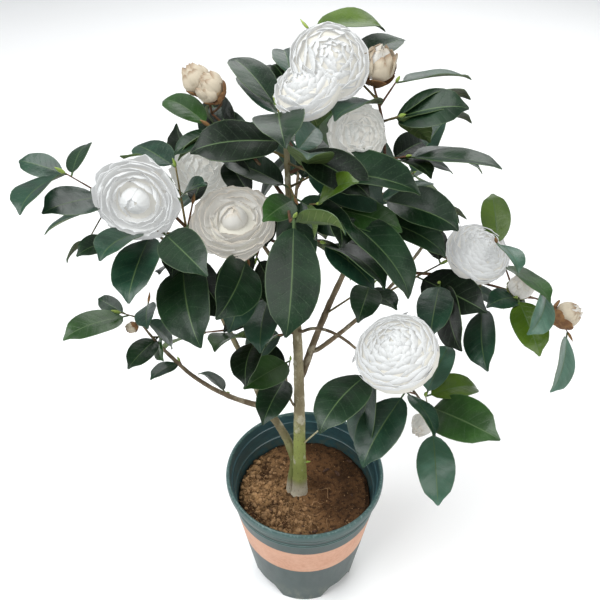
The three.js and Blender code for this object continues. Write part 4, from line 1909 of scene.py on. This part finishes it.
class Blossom:
    """Petals, calyxes and stalks of every bloom and bud."""

    ALONGS = (0.0, 0.25, 0.48, 0.68, 0.84, 0.94, 1.0)
    ACROSSES = (-1.0, -0.68, -0.34, 0.0, 0.34, 0.68, 1.0)
    THICKNESS = 0.45 * MM
    STALK_RADIUS = 1.5 * MM
    STALK_POINTS = 8
    BUD_RADIUS = 20  # millimetres; smaller blooms have slimmer stalks
    HEART_SHARE = 0.62
    HEART_PETALS = 6
    HEART_CORE = 0.84
    SEPALS = 9
    SEPAL_THICKNESS = 0.6 * MM
    SEPAL_SEED = 40
    LEAST_CALYX = 4.5 * MM
    SHOULDER = 0.6  # where a petal is widest, along it
    TAPER = 0.415  # from there to just past its tip
    ASIDE = np.array([0.31, 0.22, 0.92])  # a direction that no bloom faces

    def __init__(self, growth: Growth, blooms: Sequence[Bloom]) -> None:
        """Makes the flat petal and lets the stalks grow.

        Args:
            growth: The grown plant.
            blooms: The blooms and buds.
        """
        self.blooms = blooms
        self.sheet = Sheet(self.ALONGS, self.ACROSSES, lambda *_: 0)
        self.stalks: dict[str, Path] = {}
        for bloom in blooms:
            parent = growth.path_of(bloom.on)
            face = direction(*bloom.facing)
            start, middle = parent.at(bloom.at), bloom.middle(parent)
            end = middle - face * bloom.kind.value.depth * bloom.radius * MM
            share = np.linspace(0, 1, self.STALK_POINTS)[:, None]
            knee = end - face * 0.4 * np.linalg.norm(end - start)
            points = (1 - share) ** 2 * start + 2 * share * (1 - share) * knee + share ** 2 * end
            slim = self.STALK_RADIUS * (1.0 if bloom.radius > self.BUD_RADIUS else 0.7)
            radii = np.linspace(slim, slim * 1.15, self.STALK_POINTS)
            self.stalks[bloom.name] = Path(points, radii)

    def petal(
        self, bloom: Bloom, azimuth: float, line: Sequence, width: float, wrap: float,
        ruffle: float = 0.0, phase: float = 0.0, thickness: float = THICKNESS,
    ) -> np.ndarray:
        """Bends one petal into a shell beside the bloom's axis.

        Args:
            bloom: The bloom.
            azimuth: Bearing round the axis, in radians.
            line: Foot, bow and tip of its midline, each a distance from the axis and a
                height above the base, in metres.
            width: Its half width, in metres.
            wrap: Radius that it is wrapped to across its width, in metres.
            ruffle: How far its rim waves, in metres.
            phase: Where the waves start.
            thickness: Its thickness.

        Returns:
            A place for each vertex of the sheet.
        """
        axis = direction(*bloom.facing)
        first = unit(np.cross(axis, self.ASIDE))
        second = np.cross(axis, first)
        spoke = math.cos(azimuth) * first + math.sin(azimuth) * second
        side = np.cross(axis, spoke)
        along, across, under = self.sheet.along, self.sheet.across, self.sheet.under
        foot, bow, tip = (np.array(place, float) for place in line)
        t = along[:, None]
        middle = (1 - t) ** 2 * foot + 2 * t * (1 - t) * bow + t ** 2 * tip
        slope = 2 * (1 - t) * (bow - foot) + 2 * t * (tip - bow)
        slope /= np.linalg.norm(slope, axis=1)[:, None]
        inward = np.stack([-slope[:, 1], slope[:, 0]], 1)
        half = width * np.clip(along / self.SHOULDER, 0.16, 1) ** 0.75
        past = np.clip(along - self.SHOULDER, 0, None) / self.TAPER
        half *= np.sqrt(np.clip(1 - past ** 2.2, 0.02, 1))
        notch = 0.06 * width * np.exp(-((across / 0.3) ** 2)) * np.clip((along - 0.9) / 0.1, 0, 1)
        turn = across * half / wrap
        wave = ruffle * along ** 2.2 * np.sin(across * 3.4 + phase + along * 1.5)
        wave += ruffle * 0.3 * along ** 3 * np.sin(across * 7.5 - phase * 2.0)
        lift = wave + wrap * (1 - np.cos(turn)) - np.where(under, thickness, 0.0)
        middle = middle + inward * lift[:, None] - slope * notch[:, None]
        base = self.stalks[bloom.name].points[-1]
        return (base + spoke * middle[:, 0:1] + axis * middle[:, 1:2]
                + side * (wrap * np.sin(turn))[:, None])

    def petals(self) -> None:
        """Builds and joins every petal."""
        bm = bmesh.new()
        tints = list(PetalTint)
        for bloom in self.blooms:
            rng = random.Random(bloom.seed)
            form = bloom.kind.value
            size = bloom.radius * MM
            inner = tints.index(bloom.heart)
            places = np.linspace(0, 1, len(form.tips))
            for number in range(form.petals):
                share = number / (form.petals - 1)
                grade = share ** form.rush
                tip, bow = (np.array([np.interp(grade, places, [p[k] for p in stops])
                                      for k in (0, 1)]) for stops in (form.tips, form.bows))
                width, wrap, ruffle = (float(np.interp(grade, places, stops)) * size for stops
                                       in (form.widths, form.wraps, form.ruffles))
                foot = np.array([0.1 - 0.06 * share, 0.2 * share])
                tip += np.array([rng.gauss(0, form.jitter), rng.gauss(0, form.jitter)])
                azimuth = math.radians(GOLDEN * number)
                points = self.petal(
                    bloom, azimuth + rng.gauss(0, form.jitter * 2),
                    (foot * size, bow * size, tip * size), width * rng.uniform(0.9, 1.1),
                    wrap, ruffle * rng.uniform(0.5, 1.4), rng.uniform(0, ANY_ANGLE))
                tint = inner if share > self.HEART_SHARE else tints.index(bloom.tint)
                self.sheet.join(bm, points, (tint,))
            self.core(bm, bloom, form.core, inner)
            if form.heart:
                ball, rise = form.heart
                packed = self.HEART_CORE * ball
                self.core(bm, bloom, (packed, rise, packed), inner)
                self.heart(bm, bloom, size * ball, size * rise, inner)
        settle(bm, "petals", [PetalFinish(t).material() for t in tints])

    def core(self, bm: BMesh, bloom: Bloom, body: tuple[float, float, float],
             tint: int) -> None:
        """Fills the middle of a bloom, where its petals are packed too tightly to see.

        Args:
            bm: The bmesh that takes it.
            bloom: The bloom.
            body: Radius, height and half height, as shares of the bloom's radius.
            tint: Its material index.
        """
        radius, height, half = (value * bloom.radius * MM for value in body)
        axis = Vector(direction(*bloom.facing))
        place = (Matrix.Translation(Vector(self.stalks[bloom.name].points[-1]) + axis * height)
                 @ axis.to_track_quat("Z", "Y").to_matrix().to_4x4()
                 @ Matrix.Diagonal((radius, radius, half, 1.0)))
        made = bmesh.ops.create_icosphere(bm, subdivisions=3, radius=1.0, matrix=place)
        for face in {face for vert in made["verts"] for face in vert.link_faces}:
            face.smooth, face.material_index = True, tint

    def heart(self, bm: BMesh, bloom: Bloom, radius: float, height: float,
              tint: int) -> None:
        """Closes the middle of a bloom with a ball of tight petals.

        Args:
            bm: The bmesh that takes them.
            bloom: The bloom.
            radius: The ball's radius.
            height: Its middle's height above the bloom's base.
            tint: The petals' material index.
        """
        for number in range(self.HEART_PETALS):
            ball = radius * (0.86 + 0.035 * number)
            over = mix(-0.5, 0.42, number / (self.HEART_PETALS - 1))
            line = ((0.55 * ball, height - 0.85 * ball), (1.62 * ball, height + 0.5 * ball),
                    (over * ball, height + math.sqrt(1 - over * over) * ball))
            azimuth = math.radians(200 + 100 * number)
            self.sheet.join(bm, self.petal(bloom, azimuth, line, 1.42 * ball, ball), (tint,))

    def calyxes(self) -> None:
        """Builds the scales that hold each bloom, and its stalk."""
        bm = bmesh.new()
        for bloom in self.blooms:
            rng = random.Random(bloom.seed + self.SEPAL_SEED)
            spread = max(bloom.calyx * bloom.radius * MM, self.LEAST_CALYX)
            dry = int(bloom.tint is PetalTint.SPENT)
            for number in range(self.SEPALS):
                share = number / (self.SEPALS - 1)
                line = ((0.25, mix(-0.4, -0.1, share)),
                        (mix(0.7, 1.25, share), mix(-0.25, 0.1, share)),
                        (mix(0.75, 1.3, share), mix(0.15, 0.95, share)))
                points = self.petal(
                    bloom, math.radians(GOLDEN * number), np.array(line) * spread,
                    mix(0.4, 0.72, share) * spread, spread, 0.03 * spread,
                    rng.uniform(0, ANY_ANGLE), self.SEPAL_THICKNESS)
                self.sheet.join(bm, points, (dry,))
            tube(bm, self.stalks[bloom.name], 8, index=2)
        settle(bm, "calyxes", [
            PlainFinish("sepal_green", "7f8a4e", "6a6a3c", 0.6).material(),
            PlainFinish("sepal_brown", "6b4a30", "86633f", 0.75).material(),
            BarkFinish("bark_stalk", "6f5138", "59402c", "8b755c", 0.15).material(),
        ])


# ---- how the plant is laid out ----

FORKS = {
    "trunk": ("stem_left", "fork_right", "bough_thin_left", "bough_arch", "bough_centre_left",
              "bough_centre_front", "bough_upper_left", "bough_upper_right",
              "bough_back_left", "bough_back"),
    "stem_left": ("stem_mid_left", "bough_low_left"),
    "stem_mid_left": ("bough_left_tip",),
    "fork_right": ("bough_right", "bough_top_right", "bough_back_right"),
    "bough_right": ("bough_far_right",),
    "bough_arch": ("bough_low_right",),
}
PARENTS = {limb: parent for parent, limbs in FORKS.items() for limb in limbs}
YOUNG_BOUGHS = ("bough_far_right", "bough_top_right", "bough_centre_left",
                "bough_centre_front", "bough_upper_left", "bough_upper_right")
PALE_SHOOTS = ("sprout", "sprout_stub")

REACHES = (
    Reach("bough_left_tip", 60, 0, -5),
    Reach("bough_low_left", 60, -5, 10),
    Reach("bough_far_right", 65, 0, -5),
    Reach("bough_low_right", 85, 20, -20),
    Reach("bough_centre_left", 30, -5, -5),
    Reach("bough_upper_left", 55, 10, -5),
    Reach("bough_upper_right", 50, 20, -15),
    Reach("bough_back", 40, 0, -10),
    Reach("bough_back_left", 35, 10, -5),
    Reach("bough_back_right", 35, -5, -5),
)

SHOOTS = (
    Shoot("left_tip", "bough_left_tip", 1.0, 205, 45, 40, (
        Lead(0.95, 160, 5, 0.55, 5), Lead(1.0, 255, 0, 0.8), Lead(0.0, 240, 15, 0.8, 30),
        Lead(0.85, 80, 10, 0.55, 10, DARK))),
    Shoot("left_low", "bough_left_tip", 0.93, 225, -45, 40, (
        Lead(0.1, 205, -15, 0.7, -60), Lead(1.0, 240, -15, 0.35, -50))),
    Shoot("left_inner", "bough_left_tip", 0.5, 240, 15, 45, (
        Lead(1.0, 235, 10, 0.5, 0, DARK), Lead(0.6, 135, 25, 0.7, 70))),
    Shoot("pearl_up", "stem_mid_left", 0.97, 110, 70, 60, (
        Lead(0.5, 165, 35, 0.75, -85), Lead(0.55, 320, 35, 0.5), Lead(1.0, 135, 0, 0.7))),
    Shoot("pearl_low", "stem_mid_left", 0.96, 220, 25, 50, (
        Lead(1.0, 250, 10, 0.75, 15, BLUE), Lead(0.8, 265, -10, 0.95, 0, BLUE),
        Lead(0.9, 220, 0, 0.55, -10, DEEP))),
    Shoot("pearl_right", "stem_mid_left", 0.95, 245, 35, 45, (
        Lead(1.0, 305, 0, 0.9, 0, DARK),)),
    Shoot("pearl_between", "stem_mid_left", 0.97, 15, 75, 30, (
        Lead(1.0, 80, 5, 0.4, 0, DEEP), Lead(0.3, 260, -20, 0.7, 0, DEEP))),
    Shoot("left_hang", "stem_mid_left", 0.88, 255, 10, 25, (
        Lead(1.0, 285, -15, 1.15), Lead(0.9, 250, 15, 0.5, -75),
        Lead(0.5, 310, -30, 0.85, -15, DEEP))),
    Shoot("mid_spur", "stem_mid_left", 0.42, 195, 5, 25, (
        Lead(1.0, 165, -35, 0.75, -60),)),
    Shoot("low_tip", "bough_low_left", 1.0, 215, 40, 20, (
        Lead(0.7, 150, 10, 0.4), Lead(0.5, 220, 5, 0.8))),
    Shoot("low_back", "bough_low_left", 0.93, 70, 55, 25, (
        Lead(1.0, 280, 10, 0.6, -20), Lead(0.3, 20, -65, 0.6, 30))),
    Shoot("low_mid", "bough_low_left", 0.85, 60, -35, 12, (
        Lead(0.8, 245, 0, 0.6), Lead(1.0, 285, -5, 0.4, -60))),
    Shoot("low_spur", "bough_low_left", 0.58, 120, 20, 8, (
        Lead(1.0, 235, 10, 0.5, 10),)),
    Shoot("low_inner", "bough_low_left", 0.31, 50, -45, 20, (
        Lead(1.0, 140, 0, 0.55, -40),), radius=0.8),
    Shoot("inner_left", "trunk", 0.52, 210, 15, 50, (
        Lead(1.0, 265, 0, 0.8, 10), Lead(0.8, 140, -10, 0.7, -85), Lead(0.5, 250, 15, 0.5)),
        leaves=2, turn=250, seed=20),
    Shoot("inner_low", "bough_thin_left", 0.9, 290, 70, 40, (
        Lead(0.1, 250, -5, 0.8), Lead(1.0, 230, 10, 0.8, 0, GREEN),
        Lead(0.6, 150, 10, 0.6, 0, DEEP))),
    Shoot("centre_left", "bough_centre_left", 1.0, 290, -45, 25, (
        Lead(1.0, 255, -5, 0.95, 25),), leaves=2, turn=40, seed=19),
    Shoot("centre_low", "trunk", 0.6, 215, 40, 40, (
        Lead(1.0, 265, -10, 0.85), Lead(0.8, 205, -25, 0.7, -10))),
    Shoot("centre_front", "bough_centre_front", 1.0, 300, 50, 9, (
        Lead(1.0, 265, -45, 1.1, 20, DARK), Lead(0.2, 320, 10, 0.65, 80))),
    Shoot("centre_bud", "trunk", 0.83, 300, 30, 55, (
        Lead(1.0, 320, 40, 0.65, 20, BRIGHT), Lead(0.6, 280, -5, 0.55, 90))),
    Shoot("upper_west", "bough_upper_left", 0.6, 205, 40, 40, (
        Lead(1.0, 145, 10, 0.65, -25), Lead(0.8, 205, -20, 0.5), Lead(0.3, 115, 20, 0.6, 90)),
        leaves=1, turn=80, seed=14),
    Shoot("upper_back", "trunk", 0.93, 165, 20, 50, (
        Lead(1.0, 120, 10, 0.7, 0, DEEP), Lead(0.6, 150, 10, 0.75, 0, DARK),
        Lead(0.9, 205, -10, 0.7, -45, DARK))),
    Shoot("core_left", "trunk", 0.85, 200, 10, 35, (
        Lead(1.0, 120, 20, 0.6, 0, DEEP), Lead(0.5, 260, -55, 0.5, 0, DEEP))),
    Shoot("core_right", "trunk", 0.87, 20, 20, 25, (
        Lead(1.0, 320, -30, 0.7, 0, DEEP), Lead(0.5, 70, 15, 0.7, 0, DARK))),
    Shoot("centre_under", "bough_centre_left", 0.6, 250, -40, 20, (
        Lead(1.0, 300, -20, 0.7, 0, DEEP), Lead(0.8, 220, -20, 0.6, 0, DEEP))),
    Shoot("upper_left", "trunk", 0.88, 285, -5, 25, (
        Lead(0.3, 155, 10, 0.8, -35), Lead(1.0, 240, 5, 0.6)), leaves=3, turn=120, seed=13),
    Shoot("crown_front", "trunk", 0.97, 290, -5, 25, (
        Lead(0.3, 195, 0, 1.0, -20), Lead(1.0, 70, 0, 0.6, 0, TEAL)),
        leaves=3, turn=60, seed=11),
    Shoot("crown_left", "trunk", 0.97, 125, 60, 25, (
        Lead(0.9, 275, 5, 1.0), Lead(1.0, 130, 20, 0.85, -15), Lead(0.7, 125, 15, 0.8, -20)),
        leaves=2, turn=10, seed=12),
    Shoot("crown_back", "trunk", 0.97, 85, 30, 65, (
        Lead(1.0, 100, 5, 0.65), Lead(0.8, 110, 5, 0.6)), leaves=2, turn=150),
    Shoot("top_right", "bough_top_right", 1.0, 160, 40, 85, (
        Lead(1.0, 10, -5, 0.8, 0, BRIGHT), Lead(0.5, 30, 10, 0.75, -15, DARK))),
    Shoot("top_side", "bough_top_right", 0.96, 320, 60, 30, (
        Lead(1.0, 20, -5, 0.85, 40), Lead(0.2, 230, 5, 0.8, -25))),
    Shoot("right_upper", "bough_top_right", 0.86, 290, 30, 35, (
        Lead(0.4, 345, 15, 0.8, 10), Lead(0.0, 195, 5, 0.6, -20), Lead(0.8, 15, -10, 0.85, 55),
        Lead(0.9, 25, -40, 0.55, 90), Lead(0.6, 20, 5, 0.9, 60)), leaves=1, turn=140, seed=17),
    Shoot("right_shelf", "bough_top_right", 0.6, 295, 30, 40, (
        Lead(1.0, 335, 5, 0.95, 45), Lead(0.3, 50, -5, 0.65), Lead(0.8, 20, -25, 0.7, 40),
        Lead(0.9, 5, -15, 0.9, 50), Lead(0.5, 300, 5, 0.6, 30)), leaves=1, turn=150, seed=21),
    Shoot("crown_low", "trunk", 0.92, 305, 10, 30, (
        Lead(1.0, 345, -5, 1.15, 25),), leaves=3, turn=200, seed=15),
    Shoot("mid_right", "fork_right", 0.97, 285, 60, 80, (
        Lead(1.0, 335, -10, 0.9, 10), Lead(0.8, 5, -10, 1.05, 55), Lead(0.6, 330, -15, 0.95, 15),
        Lead(0.1, 305, -20, 0.6, 55)), leaves=1, turn=240, seed=18),
    Shoot("centre_right", "trunk", 0.83, 320, 20, 55, (
        Lead(1.0, 315, -30, 1.2, 30), Lead(0.9, 280, -10, 0.6, 25, DEEP),
        Lead(0.5, 35, 5, 0.6, 60)), leaves=2, turn=160, seed=16),
    Shoot("centre_right_low", "trunk", 0.77, 305, 20, 50, (
        Lead(0.6, 310, -15, 0.7, 75), Lead(1.0, 315, -10, 0.9, 35), Lead(0.2, 50, -30, 0.6, 50)),
        leaves=2, turn=150, seed=22),
    Shoot("fork_side", "fork_right", 0.45, 325, 50, 80, (
        Lead(1.0, 255, 0, 0.7), Lead(0.9, 300, 10, 0.6))),
    Shoot("right_tip_up", "bough_far_right", 0.74, 190, 65, 70, (
        Lead(0.9, 90, 30, 0.7, 0, BRIGHT), Lead(1.0, 280, 0, 0.6, 35, TEAL),
        Lead(0.6, 295, 0, 0.8, 35))),
    Shoot("right_back", "bough_right", 0.6, 350, 40, 70, (
        Lead(1.0, 100, 5, 0.7, 0, DEEP), Lead(0.6, 310, 5, 1.0, -30, DEEP))),
    Shoot("right_inner", "bough_far_right", 0.3, 235, 20, 30, (
        Lead(1.0, 255, -10, 0.85), Lead(0.8, 275, -15, 0.95, -50, DEEP),
        Lead(0.5, 350, -25, 0.8, 50), Lead(0.2, 240, -15, 0.7, 0, DEEP))),
    Shoot("right_under", "bough_far_right", 0.5, 270, -35, 25, (
        Lead(1.0, 265, -15, 0.9, -50),)),
    Shoot("right_low_tip", "bough_far_right", 0.9, 225, 30, 50, (
        Lead(1.0, 280, -20, 0.75, 0, BRIGHT), Lead(0.5, 210, 10, 0.65, -20))),
    Shoot("right_teal", "bough_far_right", 0.95, 250, 45, 60, (
        Lead(1.0, 240, -10, 0.7, 40, TEAL),)),
    Shoot("far_tip", "bough_far_right", 1.0, 335, -50, 40, (
        Lead(1.0, 245, -20, 0.85, 30, TEAL),)),
    Shoot("low_right_left", "bough_low_right", 0.15, 185, -30, 14, (
        Lead(1.0, 235, -5, 1.0, 15), Lead(0.6, 255, -60, 0.95, -40))),
    Shoot("low_right_mid", "bough_low_right", 0.45, 215, 40, 20, (
        Lead(1.0, 235, -25, 0.95, -20), Lead(0.9, 290, -5, 0.65, 50))),
    Shoot("low_right_tip", "bough_low_right", 0.85, 225, 70, 75, (
        Lead(0.75, 305, 20, 1.05, -15, GREEN), Lead(0.1, 270, -30, 0.9, 0, TEAL),
        Lead(1.0, 20, -10, 0.7, 10, BRIGHT), Lead(1.0, 60, 20, 0.7, 0, TEAL))),
    Shoot("back_low", "bough_back", 0.55, 70, 10, 50, leaves=4, turn=40, seed=3),
    Shoot("back_tip", "bough_back", 1.0, 75, 25, 25, leaves=5, turn=0, seed=4),
    Shoot("back_left_tip", "bough_back_left", 1.0, 140, 20, 40, leaves=5, turn=20, seed=5),
    Shoot("back_left_side", "bough_back_left", 0.55, 95, 20, 50, leaves=4, turn=90, seed=6),
    Shoot("back_right_tip", "bough_back_right", 1.0, 45, 15, 40, leaves=5, turn=60, seed=7),
    Shoot("back_right_side", "bough_back_right", 0.4, 90, 30, 50, leaves=4, turn=10, seed=8),
    Shoot("sprout", "trunk", 0.14, 330, 60, 65, radius=1.2),
    Shoot("sprout_stub", "trunk", 0.08, 325, 40, 12, radius=1.2),
)

BLOOMS = (
    Bloom("top", BloomKind.ROSE, "trunk", 1.0, 15, 50, 62, (285, 40), 33.5),
    Bloom("top_front", BloomKind.ROSE, "trunk", 1.0, 350, 60, 36, (220, 60), 30, seed=2),
    Bloom("pearl_left", BloomKind.PEARL, "stem_mid_left", 1.0, 225, 45, 64, (270, 10), 35.5,
          seed=3),
    Bloom("pearl_centre", BloomKind.PEARL, "bough_centre_left", 0.9, 210, 55, 20, (265, 65), 36.5,
          PetalTint.CREAM, PetalTint.CREAM, seed=4),
    Bloom("worn_left", BloomKind.WORN, "bough_upper_left", 0.5, 155, -25, 62, (275, 45), 28,
          PetalTint.AGED, PetalTint.AGED, seed=5),
    Bloom("right", BloomKind.BALL, "bough_right", 1.0, 340, 5, 55, (300, 60), 33, seed=6),
    Bloom("bowl", BloomKind.BALL, "bough_arch", 1.0, 320, 30, 44, (215, 65), 38.5, seed=7,
          calyx=0.2),
    Bloom("worn_right", BloomKind.WORN, "bough_upper_right", 1.0, 260, 45, 14, (290, 30), 26,
          PetalTint.AGED, PetalTint.AGED, seed=8),
    Bloom("hidden", BloomKind.BALL, "fork_right", 0.97, 150, 60, 45, (300, 10), 21, seed=9),
    Bloom("spent_far_left", BloomKind.CLOSED, "bough_upper_left", 1.0, 215, 70, 35, (170, 60), 13,
          PetalTint.SPENT, PetalTint.SPENT, seed=10, calyx=0.8),
    Bloom("spent_left", BloomKind.CLOSED, "bough_upper_left", 1.0, 280, 65, 30, (200, 50), 13,
          PetalTint.SPENT, PetalTint.SPENT, seed=11, calyx=0.8),
    Bloom("spent_top", BloomKind.CLOSED, "bough_top_right", 1.0, 135, 85, 30, (300, 70), 16,
          PetalTint.SPENT, PetalTint.CREAM, seed=12, calyx=0.95),
    Bloom("bud_right", BloomKind.CLOSED, "bough_far_right", 0.85, 230, 45, 40, (250, 60), 13,
          PetalTint.CREAM, PetalTint.CREAM, seed=13, calyx=0.8),
    Bloom("bud_far_right", BloomKind.CLOSED, "bough_far_right", 1.0, 335, -25, 22, (0, 30), 14,
          PetalTint.SPENT, PetalTint.CREAM, seed=14, calyx=0.95),
    Bloom("spent_low", BloomKind.CLOSED, "bough_low_left", 1.0, 250, -25, 12, (215, -10), 5.5,
          PetalTint.SPENT, PetalTint.SPENT, seed=16, calyx=0.9),
    Bloom("bud_low", BloomKind.CLOSED, "bough_low_right", 1.0, 200, 65, 46, (230, -10), 12,
          PetalTint.CREAM, PetalTint.CREAM, seed=15),
)


# ---- studio ----

@dataclass
class Studio:
    """Pale floor, soft lights and the camera."""

    eye: tuple[float, float, float] = (-0.0058, -0.575, 0.9)
    pitch: float = 37.98
    lens: float = 43.2
    sensor: float = 36.0
    floor_radius: float = 9.0
    lit: tuple[float, float, float] = (0.0, 0.0, 0.4)
    sky_colour: tuple[float, float, float] = (0.93, 0.965, 1.0)
    sky_strength: float = 0.4

    def camera(self) -> None:
        """Makes the camera."""
        data = bpy.data.cameras.new("camera")
        data.lens, data.sensor_width = self.lens, self.sensor
        data.clip_start, data.clip_end = 0.01, 60.0
        camera = new_object("camera", data)
        camera.location = self.eye
        camera.rotation_euler = (math.radians(90 - self.pitch), 0.0, 0.0)
        bpy.context.scene.camera = camera

    def floor(self) -> None:
        """Makes the floor."""
        bm = bmesh.new()
        bmesh.ops.create_circle(bm, cap_ends=True, segments=96, radius=self.floor_radius)
        mesh = new_mesh(bm, "floor")
        make = NodeMaker("floor_paper")
        colour = make.blend(make.noise(3.0), "f6f6f6", "f3f3f2")
        mesh.materials.append(make.finish(colour, 0.9, Specular_IOR_Level=0.1))
        new_object("floor", mesh)

    def light(self, name: str, place: tuple[float, float, float], size: float,
              power: float, colour: tuple[float, float, float]) -> None:
        """Makes a soft square light that faces the plant.

        Args:
            name: Its name.
            place: Where it hangs.
            size: Its side.
            power: Its power.
            colour: Its colour.
        """
        data = bpy.data.lights.new(name, "AREA")
        data.shape, data.size, data.energy, data.color = "SQUARE", size, power, colour
        light = new_object(name, data)
        light.location = place
        aim = Vector(self.lit) - Vector(place)
        light.rotation_euler = aim.to_track_quat("-Z", "Y").to_euler()

    def sky(self) -> None:
        """Makes the even pale surroundings."""
        world = bpy.data.worlds.new("surroundings")
        bpy.context.scene.world = world
        world.use_nodes = True
        nodes = world.node_tree.nodes
        back = nodes.get("Background") or nodes.new("ShaderNodeBackground")
        back.inputs["Color"].default_value = (*self.sky_colour, 1.0)
        back.inputs["Strength"].default_value = self.sky_strength

    def build(self) -> None:
        """Sets the studio up."""
        self.camera()
        self.floor()
        self.light("window", (-1.3, -0.7, 2.6), 2.2, 95.0, (0.97, 0.985, 1.0))
        self.light("fill", (1.9, -1.3, 2.0), 2.2, 42.0, (1.0, 0.99, 0.97))
        self.light("rear", (0.4, 2.2, 2.2), 2.0, 38.0, (1.0, 1.0, 1.0))
        self.sky()
        view = bpy.context.scene.view_settings
        view.view_transform, view.look = "Standard", "None"


def main() -> None:
    """Builds the plant piece by piece."""
    logging.basicConfig(level=logging.INFO, format="%(name)s: %(message)s")
    Studio().build()
    Pot().build()
    soil = Soil()
    soil.build()
    Litter(soil).build()
    growth = Growth()
    growth.grow(SHOOTS, BLOOMS)
    blossom = Blossom(growth, BLOOMS)
    bark = Bark(growth)
    bark.trunk()
    bark.stems()
    bark.boughs()
    bark.twigs()
    foliage = Foliage(growth)
    foliage.leaves()
    foliage.buds()
    blossom.petals()
    blossom.calyxes()


if __name__ == "__main__":
    main()
